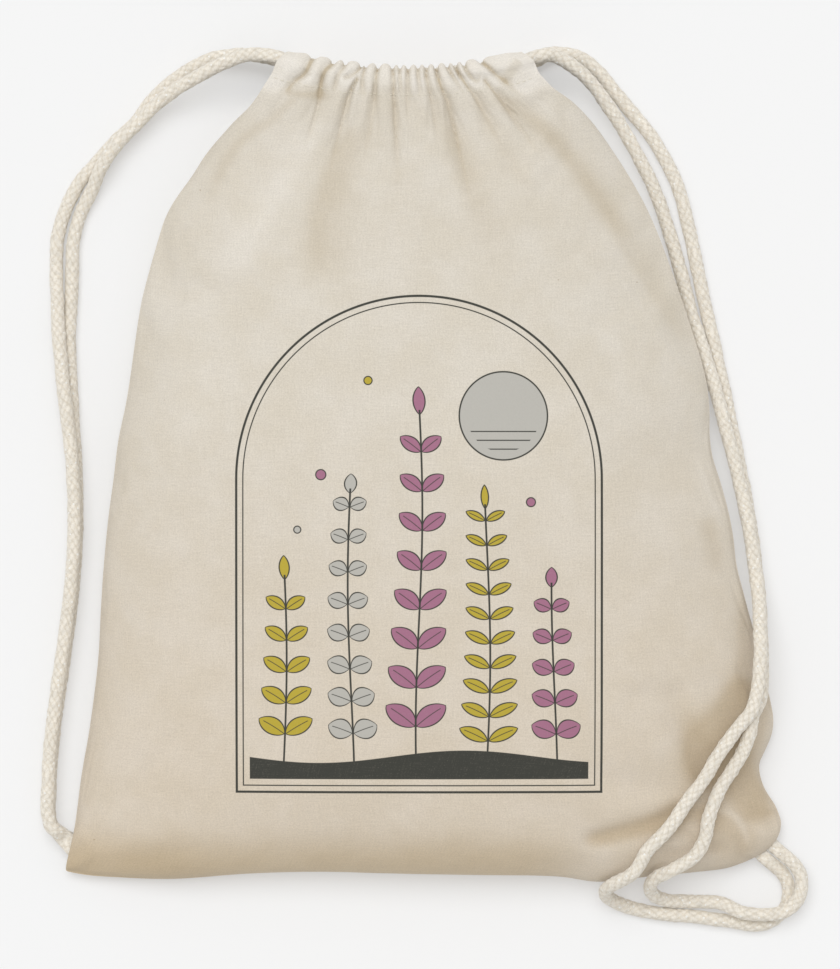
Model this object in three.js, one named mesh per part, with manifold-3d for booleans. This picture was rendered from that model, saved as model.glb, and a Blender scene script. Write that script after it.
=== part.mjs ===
import * as THREE from "three";
import { LoftGeometry } from "three/addons/geometries/LoftGeometry.js";
import { mergeVertices } from "three/addons/utils/BufferGeometryUtils.js";
import Module from "manifold-3d";

// A cotton drawstring backpack, lying on its back as it was put down, lightly filled and drawn shut.
// +X runs across the bag, +Y from its bottom to its mouth and +Z up from the floor to its front.

// The bag as it lies: across the bottom, from the bottom edge to the top of the hem, and over the belly.
const bagWidth = 370;
const bagLength = 428;
const bellyHeight = 64;
const clothThickness = 1;

// The drawn mouth: an arc that sags in its middle, with the hem's width from end to end along its chord.
const mouthWidth = 124;
const mouthArcRadius = 250;
const mouthCentreX = -8.8;
const mouthGap = 6;
const shoulderOverhang = 7.5;

// The gathers: how many the hem has, how deep they stand, and how far they run down the bag.
const gatherCount = 13;
const gatherDepth = 2.6;
const gatherReach = 0.3;

// The seams: their lie above the floor, the cloth turned in, and the room for a cord end sewn into one.
const seamHeightAtMouth = 20;
const seamHeightAtMiddle = 16;
const seamHeightAtCorner = 7.2;
const bottomSeamHeight = 15;
const seamAllowance = 10;
const seamThickness = 1.2;
const cordEndThickness = 3.8;
const cordEndTuck = 9;

// The drawcords, and the play that each has in its channel.
const cordDiameter = 7;
const cordPlay = 0.35;
const pieceGap = 0.3;

// How finely the curved pieces are faceted.
const panelColumns = 56;
const frontRows = { gathered: 8, plain: 8, turned: 5 };
const backRows = { gathered: 7, plain: 6, turned: 4 };
const hemSides = 8;
const cordSides = 10;

const cordRadius = cordDiameter / 2;
const laneOffset = cordRadius + 2 * pieceGap;
const laneLevel = cordRadius + pieceGap;
const channelHalfDepth = laneOffset + cordRadius + cordPlay;
const channelHalfHeight = laneLevel + cordRadius + cordPlay;
const hemHalfDepth = channelHalfDepth + clothThickness;
const hemHalfHeight = channelHalfHeight + clothThickness;
const backHemZ = hemHalfHeight;
const frontHemZ = 3 * hemHalfHeight + mouthGap;
const bendRadius = (frontHemZ - backHemZ) / 2;
const hemHalfAngle = Math.asin(mouthWidth / 2 / mouthArcRadius);
const mouthSag = mouthArcRadius * (1 - Math.cos(hemHalfAngle));
const mouthMiddleY = bagLength / 2 - mouthSag - hemHalfDepth * Math.cos(hemHalfAngle);
const mouthArcCentre = new THREE.Vector2(mouthCentreX, mouthMiddleY + mouthArcRadius);
const laneTilt = Math.atan((2 * laneOffset) / mouthWidth);

const panelArcRadius = mouthArcRadius + hemHalfDepth + pieceGap;
const shoulderHalfAngle = Math.asin((mouthWidth / 2 + shoulderOverhang) / panelArcRadius);
const cordEndPlaces = [[-181.5, -197], [177.5, -196.5]];
const seamGap = seamThickness / 2 + pieceGap;
const cordEndGap = cordEndThickness / 2 + pieceGap + 0.05;

// The side outlines from the shoulder down to the corner, and the bottom edge from left to right,
// as shares of the bag's width and length measured from its middle.
const leftOutline = [
  [-0.24, 0.427], [-0.265, 0.411], [-0.321, 0.345], [-0.36, 0.3], [-0.383, 0.226],
  [-0.411, 0.082], [-0.436, -0.055], [-0.45, -0.233], [-0.471, -0.353], [-0.498, -0.488],
];
const rightOutline = [
  [0.182, 0.445], [0.235, 0.414], [0.271, 0.37], [0.327, 0.281], [0.365, 0.19],
  [0.396, 0.082], [0.412, -0.013], [0.437, -0.121], [0.46, -0.19], [0.488, -0.3],
  [0.47, -0.36], [0.499, -0.435], [0.484, -0.46], [0.459, -0.472],
];
const bottomOutline = [
  [-0.35, -0.496], [-0.147, -0.487], [0.04, -0.488], [0.193, -0.493], [0.247, -0.5],
  [0.35, -0.489], [0.42, -0.486],
];

const clothMaterial = new THREE.MeshStandardMaterial({ color: 0xd9d1bf, roughness: 0.95, metalness: 0 });
const cordMaterial = new THREE.MeshStandardMaterial({ color: 0xe6dfd0, roughness: 0.98, metalness: 0 });

const smooth = THREE.MathUtils.smoothstep;
const mix = THREE.MathUtils.lerp;

// A point on an arc of the mouth, by its angle from the arc's lowest point.
function onMouthArc(radius, angle) {
  return new THREE.Vector3(
    mouthArcCentre.x + radius * Math.sin(angle),
    mouthArcCentre.y - radius * Math.cos(angle),
    0,
  );
}

function outlineCurve(shares, first, last) {
  const points = shares.map(([x, y]) => new THREE.Vector3(x * bagWidth, y * bagLength, 0));
  return new THREE.CatmullRomCurve3([...first, ...points, ...last], false, "centripetal");
}

const leftSide = outlineCurve(leftOutline, [onMouthArc(panelArcRadius, -shoulderHalfAngle)], []);
const rightSide = outlineCurve(rightOutline, [onMouthArc(panelArcRadius, shoulderHalfAngle)], []);
const bottomEdge = outlineCurve(bottomOutline, [leftSide.getPoint(1)], [rightSide.getPoint(1)]);

// The place on the floor plan at share u across the bag and share v down it, inside the four edges.
function planPoint(u, v) {
  const left = leftSide.getPointAt(v);
  const right = rightSide.getPointAt(v);
  const top = onMouthArc(panelArcRadius, mix(-shoulderHalfAngle, shoulderHalfAngle, u));
  const bottom = bottomEdge.getPointAt(u);
  const ruled = left.clone().lerp(right, u).add(top.clone().lerp(bottom, v));
  const upper = leftSide.getPoint(0).lerp(rightSide.getPoint(0), u);
  const lower = leftSide.getPoint(1).lerp(rightSide.getPoint(1), u);
  return ruled.sub(upper.lerp(lower, v));
}

// The seam's height above the floor: the side seams dip towards the corners, the bottom seam rises
// between them.
function seamHeight(u, v) {
  const upper = mix(seamHeightAtMouth, seamHeightAtMiddle, smooth(v, 0, 0.5));
  const side = mix(upper, seamHeightAtCorner, smooth(v, 0.5, 0.97));
  const across = 1 - (2 * u - 1) ** 2;
  return side + (bottomSeamHeight - seamHeightAtCorner) * across * smooth(v, 0.8, 1);
}

// The two panels stand apart at the seam, a little more where the cord ends are sewn in.
function seamOpening(point) {
  const distances = cordEndPlaces.map(([x, y]) => Math.hypot(point.x - x, point.y - y));
  return mix(cordEndGap, seamGap, smooth(Math.min(...distances), 10, 22));
}

// A rounded profile that is 1 in the middle and 0 at -1 and 1.
function crown(position, flatness, fullness) {
  return (1 - Math.min(1, Math.abs(position)) ** flatness) ** fullness;
}

// The front panel's inside height above the seam line, and the back panel's depth below it as a share.
// The back panel reaches the floor before its middle, so that the bag rests on a flat of its own.
function frontRise(u, v) {
  const atMouth = frontHemZ + 0.25 * hemHalfHeight - seamHeightAtMouth;
  const atBelly = bellyHeight - clothThickness - seamHeightAtMiddle;
  const along = mix(atMouth, atBelly, smooth(v, 0, 0.55)) * crown(smoothBottom(v, 0.74), 2.4, 0.55);
  return along * crown(2 * u - 1, mix(6, 2.5, smooth(v, 0, 0.3)), mix(0.5, 0.62, smooth(v, 0, 0.3)));
}

function backDepth(u, v) {
  const along = mix(0.67, 1, smooth(v, 0, 0.12)) * crown(smoothBottom(v, 0.92), 2.4, 0.55);
  return Math.min(1, 1.08 * along * crown(2 * u - 1, 5, 0.6));
}

// The share of the way from a row on the bag to its bottom edge.
function smoothBottom(v, from) {
  return Math.max(0, (v - from) / (1 - from));
}

// Gathers: ridges that fan out from the mouth and die away down the bag.
function gatherAt(angle) {
  return 0.5 + 0.5 * Math.cos((Math.PI * gatherCount * angle) / hemHalfAngle);
}

function gatherRidge(u, v) {
  const angle = mix(-shoulderHalfAngle, shoulderHalfAngle, u);
  const fade = (1 - smooth(v, 0, gatherReach)) * smooth(Math.min(u, 1 - u), 0, 0.06);
  return gatherDepth * fade * gatherAt(angle);
}

function frontInside(u, v) {
  const point = planPoint(u, v);
  point.z = seamHeight(u, v) + seamOpening(point) + frontRise(u, v);
  return point;
}

function backInside(u, v) {
  const point = planPoint(u, v);
  const edge = seamHeight(u, v) - seamOpening(point);
  point.z = mix(edge, clothThickness, backDepth(u, v));
  return point;
}

// The direction square to a surface, kept just inside its edges where the slope is finite.
function outward(surface, u, v) {
  const step = 0.01;
  const u0 = THREE.MathUtils.clamp(u, step, 1 - step);
  const v0 = THREE.MathUtils.clamp(v, step, 1 - step);
  const across = surface(u0 + step, v0).sub(surface(u0 - step, v0));
  const along = surface(u0, v0 - step).sub(surface(u0, v0 + step));
  return across.cross(along).normalize();
}

// Row places: close in the gathers, wide on the belly and close again where the bottom turns under.
function rowShares({ gathered, plain, turned }) {
  const rows = [];
  for (let i = 0; i < gathered; i++) rows.push((gatherReach * i) / gathered);
  for (let i = 0; i < plain; i++) rows.push(mix(gatherReach, 0.82, i / plain));
  for (let i = 0; i <= turned; i++) rows.push(mix(0.82, 1, Math.sin((Math.PI * i) / turned / 2)));
  return rows;
}

// Column places: even at the mouth, for the gathers, and closer to the sides below it.
function columnShare(column, v) {
  const even = column / panelColumns;
  const closer = 0.5 - 0.5 * Math.cos(Math.PI * even);
  return mix(even, closer, smooth(v, 0, gatherReach));
}

// A wall of cloth between two grids of points, closed along its free edges. A grid that wraps
// around has no free edges along its rows' ends.
function clothWall(outer, inner, wraps) {
  const rows = outer.length;
  const columns = outer[0].length;
  const points = [...outer.flat(), ...inner.flat()];
  const at = (side, row, column) => side * rows * columns + row * columns + (column % columns);
  const faces = [];
  const quad = (a, b, c, d) => faces.push(a, b, c, a, c, d);
  const lastColumn = wraps ? columns : columns - 1;
  for (let r = 0; r < rows - 1; r++) {
    for (let c = 0; c < lastColumn; c++) {
      quad(at(0, r, c), at(0, r + 1, c), at(0, r + 1, c + 1), at(0, r, c + 1));
      quad(at(1, r, c), at(1, r, c + 1), at(1, r + 1, c + 1), at(1, r + 1, c));
    }
  }
  for (let c = 0; c < lastColumn; c++) {
    quad(at(0, 0, c), at(0, 0, c + 1), at(1, 0, c + 1), at(1, 0, c));
    quad(at(0, rows - 1, c), at(1, rows - 1, c), at(1, rows - 1, c + 1), at(0, rows - 1, c + 1));
  }
  if (!wraps) {
    for (let r = 0; r < rows - 1; r++) {
      quad(at(0, r, 0), at(1, r, 0), at(1, r + 1, 0), at(0, r + 1, 0));
      quad(at(0, r, lastColumn), at(0, r + 1, lastColumn), at(1, r + 1, lastColumn), at(1, r, lastColumn));
    }
  }
  const geometry = new THREE.BufferGeometry().setFromPoints(points);
  geometry.setIndex(faces);
  return geometry;
}

// A panel from its inside surface: the outside stands a cloth's thickness off it. The gathers stand
// out from the front and push in from the back, and facing is 1 on the front and -1 behind.
function panelGeometry(surface, rows, facing) {
  const outer = [];
  const inner = [];
  for (const v of rowShares(rows)) {
    const outerRow = [];
    const innerRow = [];
    for (let column = 0; column <= panelColumns; column++) {
      const u = columnShare(column, v);
      const point = surface(u, v);
      const away = outward(surface, u, v).multiplyScalar(facing);
      if (v === 0) away.y = 0;
      const ridge = facing * gatherRidge(u, v);
      innerRow.push(point.clone().addScaledVector(away, ridge));
      outerRow.push(point.clone().addScaledVector(away, ridge + clothThickness));
    }
    outer.push(facing > 0 ? outerRow : outerRow.reverse());
    inner.push(facing > 0 ? innerRow : innerRow.reverse());
  }
  return clothWall(outer, inner, false);
}

const frontPanel = () => panelGeometry(frontInside, frontRows, 1);
const backPanel = () => panelGeometry(backInside, backRows, -1);

// A hem channel: a tunnel with chamfered corners, bent along the mouth's arc. Its mouth side stays
// smooth, and its outer and upper sides stand out in the gathers. facing is 1 on the front, -1 behind.
function hemGeometry(middleZ, facing) {
  const chamfer = 2;
  const outline = (halfDepth, halfHeight) => [
    [halfDepth, halfHeight - chamfer], [halfDepth - chamfer, halfHeight],
    [-halfDepth + chamfer, halfHeight], [-halfDepth, halfHeight - chamfer],
    [-halfDepth, -halfHeight + chamfer], [-halfDepth + chamfer, -halfHeight],
    [halfDepth - chamfer, -halfHeight], [halfDepth, -halfHeight + chamfer],
  ];
  const inside = outline(channelHalfDepth, channelHalfHeight);
  const outside = outline(hemHalfDepth, hemHalfHeight);
  const stations = gatherCount * 4;
  const outer = [];
  const inner = [];
  for (let i = 0; i <= stations; i++) {
    const angle = mix(-hemHalfAngle, hemHalfAngle, i / stations);
    const place = (depth, height) => {
      const point = onMouthArc(mouthArcRadius + depth, angle);
      point.z = middleZ + facing * height;
      return point;
    };
    const ridge = gatherDepth * 0.6 * (gatherAt(angle) - 0.5) * Math.min(1, (stations - i) / 4, i / 4);
    const outerRing = [];
    const innerRing = [];
    for (let k = 0; k < hemSides; k++) {
      const [depth, height] = outside[k];
      const stands = height > 0 ? Math.max(0, ridge) : 0;
      const tops = depth < 0 ? Math.max(0, ridge) : 0;
      outerRing.push(place(depth - tops, height + (facing > 0 ? stands : 0)));
      innerRing.push(place(...inside[k]));
    }
    outer.push(facing > 0 ? outerRing : outerRing.reverse());
    inner.push(facing > 0 ? innerRing : innerRing.reverse());
  }
  return clothWall(outer, inner, true);
}

// The side opening at both ends of a hem: its mouth side is cut back, so that a cord can bend round
// from the front channel into the back one.
const wasm = await Module();
wasm.setup();

function solidOf(geometry) {
  const bare = new THREE.BufferGeometry();
  bare.setAttribute("position", geometry.toNonIndexed().getAttribute("position"));
  const merged = mergeVertices(bare, 1e-4);
  return new wasm.Manifold(
    new wasm.Mesh({
      numProp: 3,
      vertProperties: new Float32Array(merged.getAttribute("position").array),
      triVerts: new Uint32Array(merged.getIndex().array),
    }),
  );
}

function geometryOf(solid) {
  const mesh = solid.getMesh();
  const geometry = new THREE.BufferGeometry();
  geometry.setAttribute("position", new THREE.BufferAttribute(new Float32Array(mesh.vertProperties), 3));
  geometry.setIndex(new THREE.BufferAttribute(new Uint32Array(mesh.triVerts), 1));
  return geometry;
}

function openHemSides(geometry, middleZ, facing) {
  const slotLength = bendRadius + cordRadius + 2 * pieceGap;
  const cutHeight = mouthGap;
  let solid = solidOf(geometry);
  for (const side of [-1, 1]) {
    const cutter = new THREE.BoxGeometry(2 * slotLength, 2 * channelHalfDepth - 0.4, cutHeight);
    cutter.rotateZ(side * hemHalfAngle);
    const end = onMouthArc(mouthArcRadius, side * hemHalfAngle);
    cutter.translate(end.x, end.y, middleZ - facing * (channelHalfHeight - 2.2 + cutHeight / 2));
    solid = solid.subtract(solidOf(cutter));
  }
  return geometryOf(solid);
}

const frontHem = () => openHemSides(hemGeometry(frontHemZ, 1), frontHemZ, 1);
const backHem = () => openHemSides(hemGeometry(backHemZ, -1), backHemZ, -1);

// A drawcord's lanes: each cord crosses its channels at a slant, above or below the other, so that
// both ends of a cord leave at the top of the hem. hand is -1 for the cord that leaves on the left.
function laneCentre(hand) {
  const middle = onMouthArc(mouthArcRadius, 0);
  return new THREE.Vector2(
    middle.x - hand * mouthArcRadius * Math.sin(laneTilt),
    middle.y + mouthArcRadius * Math.cos(laneTilt),
  );
}

function laneHeights(hand) {
  const level = -hand * laneLevel;
  return { front: frontHemZ + level, back: backHemZ + level };
}

function lanePoint(hand, angle, z) {
  const centre = laneCentre(hand);
  return new THREE.Vector3(
    centre.x + mouthArcRadius * Math.sin(angle),
    centre.y - mouthArcRadius * Math.cos(angle),
    z,
  );
}

// The angle on a lane, about its own centre, that lies at the hem's end on the side given.
function laneEndAngle(hand, side) {
  return side * hemHalfAngle + hand * laneTilt;
}

// A drawcord inside the hem: in by one channel, round at the far side opening and back by the other.
class DrawcordRun extends THREE.Curve {
  constructor(hand, laneSteps, bendSteps) {
    super();
    this.hand = hand;
    this.exitAngle = laneEndAngle(hand, hand);
    const reach = (bendRadius + cordRadius + pieceGap) / mouthArcRadius;
    this.bendAngle = laneEndAngle(hand, -hand) + hand * reach;
    this.laneShare = laneSteps / (2 * laneSteps + bendSteps);
  }

  getPoint(t) {
    const { front, back } = laneHeights(this.hand);
    if (t <= this.laneShare) {
      return lanePoint(this.hand, mix(this.exitAngle, this.bendAngle, t / this.laneShare), front);
    }
    if (t >= 1 - this.laneShare) {
      return lanePoint(this.hand, mix(this.exitAngle, this.bendAngle, (1 - t) / this.laneShare), back);
    }
    const turn = (Math.PI * (t - this.laneShare)) / (1 - 2 * this.laneShare);
    const start = lanePoint(this.hand, this.bendAngle, (front + back) / 2);
    const ahead = new THREE.Vector3(Math.cos(this.bendAngle), Math.sin(this.bendAngle), 0);
    start.addScaledVector(ahead, -this.hand * bendRadius * Math.sin(turn));
    start.z += ((front - back) / 2) * Math.cos(turn);
    return start;
  }

  // Rings are spaced by the parameter, close in the bend and wide in the channels.
  getUtoTmapping(u) {
    return u;
  }
}

// A free strand's route, with one ring of the tube at each chosen point.
class StrandRoute extends THREE.CatmullRomCurve3 {
  getUtoTmapping(u) {
    return u;
  }
}

function cordTube(route, steps) {
  const section = new THREE.Shape();
  for (let i = 0; i < cordSides; i++) {
    const angle = (2 * Math.PI * i) / cordSides;
    const corner = [cordRadius * Math.cos(angle), cordRadius * Math.sin(angle)];
    if (i === 0) section.moveTo(...corner);
    else section.lineTo(...corner);
  }
  section.closePath();
  return new THREE.ExtrudeGeometry(section, { steps, extrudePath: route });
}

function drawcordRun(hand) {
  const laneSteps = 9;
  const bendSteps = 8;
  return cordTube(new DrawcordRun(hand, laneSteps, bendSteps), 2 * laneSteps + bendSteps);
}

// The free strands' routes, point by point, from the hem to where each is sewn into the bottom corner.
// seam is the place on the seam line, heading the way that the end points there in plan, and share the
// part of the seam's thickness that the flattened end takes, from its underside.
const strandRoutes = {
  left_cord_outer: {
    hand: -1,
    lane: "back",
    points: [
      [-89.5, 213.7, 12], [-101.1, 213.5, 10], [-112, 211.1, 7], [-126.1, 203.3, 4],
      [-139.1, 192.4, 3.6], [-149.2, 178.9, 3.6], [-159.4, 169.3, 3.6], [-171, 156.3, 3.6],
      [-178.1, 148, 3.6], [-184.9, 135, 3.6], [-189.3, 120.4, 3.6], [-190.1, 103.7, 3.8],
      [-189.5, 87.1, 7], [-188.5, 67.3, 9.3], [-186.2, 42.9, 10.4], [-183.8, 22.6, 11],
      [-181.5, 1.3, 11.2], [-180.4, -29.4, 11.2], [-182.3, -62.1, 11.2], [-186.4, -94.9, 11.2],
      [-190.8, -126.1, 11.2], [-193.4, -152.1, 11.2], [-194, -167, 11.2], [-194.2, -178, 11.2],
    ],
    end: { seam: [-181.4, -196.5], heading: [0.72, -0.69], width: 9.5, share: [0.54, 1] },
  },
  left_cord_inner: {
    hand: -1,
    lane: "front",
    points: [
      [-89.5, 212.3, 32.5], [-99.6, 209.6, 28], [-111.5, 204.3, 22.5], [-126.4, 196.1, 17],
      [-137.3, 188.5, 12.8], [-147.9, 177.8, 11.4], [-157.8, 168.2, 11.4], [-166.4, 155.5, 11],
      [-171.3, 144.4, 6.2], [-177.1, 132.9, 3.7], [-181, 119.3, 3.6], [-182, 103.7, 3.6],
      [-182.5, 87.1, 3.6], [-183.6, 67.3, 3.6], [-182.5, 42.9, 3.6], [-181.5, 22.6, 3.6],
      [-180.2, 1.3, 3.6], [-179.7, -29.4, 3.6], [-181.5, -62.1, 3.6], [-185.6, -94.9, 3.6],
      [-190.1, -126.1, 3.6], [-192.9, -152.1, 3.6], [-193.6, -167, 3.6], [-194, -178, 3.6],
    ],
    end: { seam: [-181.4, -196.5], heading: [0.72, -0.69], width: 9.5, share: [0, 0.46] },
  },
  right_cord_inner: {
    hand: 1,
    lane: "front",
    points: [
      [66.3, 212.9, 25], [80.3, 205.1, 20], [90.2, 195.3, 15.5], [100.1, 181.2, 12], [110, 164.6, 9],
      [119.9, 145.3, 6], [126.6, 127.1, 4.2], [135.5, 96.5, 3.6], [139.1, 81.9, 4.6], [145.9, 60.1, 8.6],
      [151.1, 42.9, 9.9], [156.8, 21.6, 10.6], [163.5, -4.9, 11], [169.3, -32.5, 11.2],
      [172.9, -58.5, 13.2], [173.9, -70, 18.1], [173.9, -79.3, 23.7], [173.9, -89.7, 29.7],
      [173.9, -97.5, 32], [172.6, -111.5, 33.8], [169.3, -124.5, 36.8], [162, -133.9, 37.6],
      [153.1, -145.9, 38.3], [144.8, -159.4, 38.7], [136, -171.3, 40.6], [125.6, -185.9, 41.6],
      [115.6, -196.5, 40.2], [108.5, -208.2, 36.4], [98.7, -214.3, 29.6], [94.5, -218.9, 19.1],
      [97.2, -223.5, 10], [105.4, -227.7, 4.4], [120.4, -231.3, 3.9], [140.8, -233.1, 3.7],
      [157.6, -235.4, 3.7], [178.1, -236.8, 3.7], [188.5, -228.2, 3.7], [189.9, -216.8, 3.7],
    ],
    end: { seam: [174.6, -199.6], heading: [-0.75, 0.66], width: 7, share: [0, 1] },
  },
  right_cord_outer: {
    hand: 1,
    lane: "back",
    points: [
      [66.3, 214.8, 5], [80.3, 213.5, 4], [90.2, 206.7, 3.6], [100.1, 194.7, 3.6], [110, 182.8, 3.6],
      [119.9, 170.3, 3.6], [131.8, 147.9, 3.6], [139.6, 118.3, 3.6], [142.7, 103.2, 3.6],
      [147.4, 81.4, 3.6], [152.1, 61.1, 3.6], [156, 42.9, 3.6], [160.4, 21.6, 3.6], [165.8, -4.9, 3.6],
      [170.8, -32.5, 3.6], [173.9, -58.5, 5.6], [175, -70, 9.6], [175, -79.3, 15], [175, -89.7, 21.2],
      [175.2, -97.5, 23.7], [175, -113.1, 26], [173.9, -120, 27.4], [170.3, -127.6, 30.2],
      [168, -138.1, 31.8], [164.6, -146.9, 32], [160.4, -153.7, 32.7], [152.6, -166.1, 34.8],
      [146.9, -180.7, 36.1], [145.1, -190.6, 34.5], [139.7, -200.1, 33.9], [129.1, -206.6, 32.7],
      [119.9, -211.9, 26.2], [117.6, -217.2, 18.8], [120.5, -221.9, 11.3], [128.4, -224.8, 5.8],
      [141.9, -225.2, 5.1], [154.8, -225.8, 9.3], [166.7, -230.8, 10.9], [187.2, -230.1, 11.2],
      [195.3, -222, 11.2], [196.1, -212, 11.2],
    ],
    end: { seam: [180.6, -194.8], heading: [-0.75, 0.66], width: 7, share: [0, 1] },
  },
};

// How far before the seam a cord starts to flatten.
const cordEndReach = 12;

function strandStart({ hand, lane }) {
  const angle = laneEndAngle(hand, hand) + (hand * pieceGap) / mouthArcRadius;
  const start = lanePoint(hand, angle, laneHeights(hand)[lane]);
  const ahead = new THREE.Vector3(hand * Math.cos(angle), hand * Math.sin(angle), 0);
  return [start, start.clone().addScaledVector(ahead, cordDiameter)];
}

// Where a free strand ends and its flattened, sewn-in end begins.
function strandEnd(strand) {
  const { points, end } = strand;
  const place = new THREE.Vector3(...end.seam, points.at(-1)[2]);
  return place.addScaledVector(headingOf(strand), -cordEndReach);
}

function headingOf({ end }) {
  return new THREE.Vector3(...end.heading, 0).normalize();
}

function freeStrand(strand) {
  const points = strand.points.map((point) => new THREE.Vector3(...point));
  const lead = strandEnd(strand).addScaledVector(headingOf(strand), -cordRadius);
  const route = [...strandStart(strand), ...points, lead, strandEnd(strand)];
  return cordTube(new StrandRoute(route, false, "centripetal"), route.length - 1);
}

// A cord's end, pressed from round to flat on its way into the seam and held between the panels.
function sewnCordEnd(strand) {
  const { width, share } = strand.end;
  const room = pieceGap * (share[1] - share[0] < 1 ? 0.5 : 0);
  const low = mix(-1, 1, share[0]) * (cordEndThickness / 2) + (share[0] > 0 ? room : 0);
  const high = mix(-1, 1, share[1]) * (cordEndThickness / 2) - (share[1] < 1 ? room : 0);
  const ahead = headingOf(strand);
  const aside = new THREE.Vector3(ahead.y, -ahead.x, 0);
  const start = strandEnd(strand).addScaledVector(ahead, pieceGap);
  const flatZ = seamHeightAtCorner + (low + high) / 2;
  const flatFrom = 0.6 * cordEndReach;
  const rings = [];
  for (const along of [0, 0.25 * flatFrom, 0.5 * flatFrom, 0.75 * flatFrom, flatFrom, cordEndReach + cordEndTuck]) {
    const flat = smooth(along, 0, flatFrom);
    const halfWidth = mix(cordRadius, width / 2, flat);
    const halfHeight = mix(cordRadius, (high - low) / 2, flat);
    const centre = start.clone().addScaledVector(ahead, along);
    centre.z = mix(start.z, flatZ, flat);
    const ring = [];
    for (let i = 0; i < cordSides; i++) {
      const angle = (2 * Math.PI * (i + 0.5)) / cordSides;
      const rise = Math.sign(Math.sin(angle)) * Math.abs(Math.sin(angle)) ** mix(1, 0.6, flat);
      const point = centre.clone().addScaledVector(aside, -halfWidth * Math.cos(angle));
      point.z += halfHeight * rise;
      ring.push(point);
    }
    rings.push(ring);
  }
  return new LoftGeometry(rings, { closed: true, capStart: true, capEnd: true });
}

// A strip of turned-in cloth along a seam, from its stitched edge inwards.
function seamStrip(edgeAt, heightAt, from, to, stations, inwardSign) {
  const rings = [];
  for (let i = 0; i <= stations; i++) {
    const t = mix(from, to, i / stations);
    const edge = edgeAt(t);
    const along = edgeAt(Math.min(1, t + 0.01)).sub(edgeAt(Math.max(0, t - 0.01))).normalize();
    const inner = edge.clone();
    inner.x -= inwardSign * along.y * seamAllowance;
    inner.y += inwardSign * along.x * seamAllowance;
    const [first, second] = inwardSign > 0 ? [edge, inner] : [inner, edge];
    const z = heightAt(t);
    const lower = z - seamThickness / 2;
    const upper = z + seamThickness / 2;
    rings.push([
      new THREE.Vector3(first.x, first.y, lower), new THREE.Vector3(second.x, second.y, lower),
      new THREE.Vector3(second.x, second.y, upper), new THREE.Vector3(first.x, first.y, upper),
    ]);
  }
  return new LoftGeometry(rings, { closed: true, capStart: true, capEnd: true });
}

const leftSeam = () =>
  seamStrip((t) => leftSide.getPointAt(t), (t) => seamHeight(0, t), 0.06, 0.93, 24, 1);
const rightSeam = () =>
  seamStrip((t) => rightSide.getPointAt(t), (t) => seamHeight(1, t), 0.06, 0.93, 24, -1);
const bottomSeam = () =>
  seamStrip((t) => bottomEdge.getPointAt(t), (t) => seamHeight(t, 1), 0.06, 0.96, 28, 1);

// The pieces of the finished bag, each a named mesh.
const bag = new THREE.Group();

function addPiece(name, geometry, material) {
  const mesh = new THREE.Mesh(geometry, material);
  mesh.name = name;
  bag.add(mesh);
}

addPiece("front_panel", frontPanel(), clothMaterial);
addPiece("back_panel", backPanel(), clothMaterial);
addPiece("front_hem_channel", frontHem(), clothMaterial);
addPiece("back_hem_channel", backHem(), clothMaterial);
addPiece("left_side_seam", leftSeam(), clothMaterial);
addPiece("right_side_seam", rightSeam(), clothMaterial);
addPiece("bottom_seam", bottomSeam(), clothMaterial);
addPiece("left_drawcord_run", drawcordRun(-1), cordMaterial);
addPiece("right_drawcord_run", drawcordRun(1), cordMaterial);
for (const [name, strand] of Object.entries(strandRoutes)) {
  addPiece(name, freeStrand(strand), cordMaterial);
  addPiece(`${name}_sewn_end`, sewnCordEnd(strand), cordMaterial);
}

export default bag;
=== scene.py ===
import math
from functools import reduce

import bmesh
import bpy
import numpy as np
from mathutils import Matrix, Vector, noise


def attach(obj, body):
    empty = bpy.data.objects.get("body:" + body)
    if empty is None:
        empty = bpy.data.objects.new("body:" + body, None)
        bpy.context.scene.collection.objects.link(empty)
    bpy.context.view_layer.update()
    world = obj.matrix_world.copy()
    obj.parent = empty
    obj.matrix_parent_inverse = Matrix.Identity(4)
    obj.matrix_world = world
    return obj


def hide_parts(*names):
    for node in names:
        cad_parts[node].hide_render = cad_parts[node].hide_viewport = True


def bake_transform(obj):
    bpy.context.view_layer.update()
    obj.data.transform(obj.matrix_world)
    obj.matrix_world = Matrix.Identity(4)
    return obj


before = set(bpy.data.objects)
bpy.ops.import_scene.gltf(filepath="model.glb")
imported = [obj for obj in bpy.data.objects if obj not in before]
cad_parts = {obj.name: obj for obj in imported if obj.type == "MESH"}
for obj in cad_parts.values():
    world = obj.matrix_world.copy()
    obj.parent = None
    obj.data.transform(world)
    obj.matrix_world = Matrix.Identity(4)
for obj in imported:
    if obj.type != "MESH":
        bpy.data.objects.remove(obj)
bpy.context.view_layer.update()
bpy.ops.object.select_all(action="DESELECT")
scene = bpy.context.scene
mm = 0.001
smoothUnder = math.radians(65)  # edges that turn by more are drawn sharp
skyward = np.array([0.0, 0.0, 1.0])

# Camera, floor and light: the bag is seen from straight above through a long lens.
studio = {
    "viewHeight": 0.5039,  # metres of floor that the picture's height takes in
    "viewCentre": (-0.0013, -0.0088),
    "lensHeight": 3.0,
    "floorSize": 6.0,
    "floorTone": 0.592,
    "floorGlow": 0.285,  # as on a light table
    "keyStrength": 1.52,
    "keySpread": 45.0,
    "keyPlace": (-0.16, 0.42, 1.25),
    "keyColour": (1.0, 1.02, 1.05),
    "skyLight": 0.616,
    "skyColour": (1.0, 0.988, 0.965),
}

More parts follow.
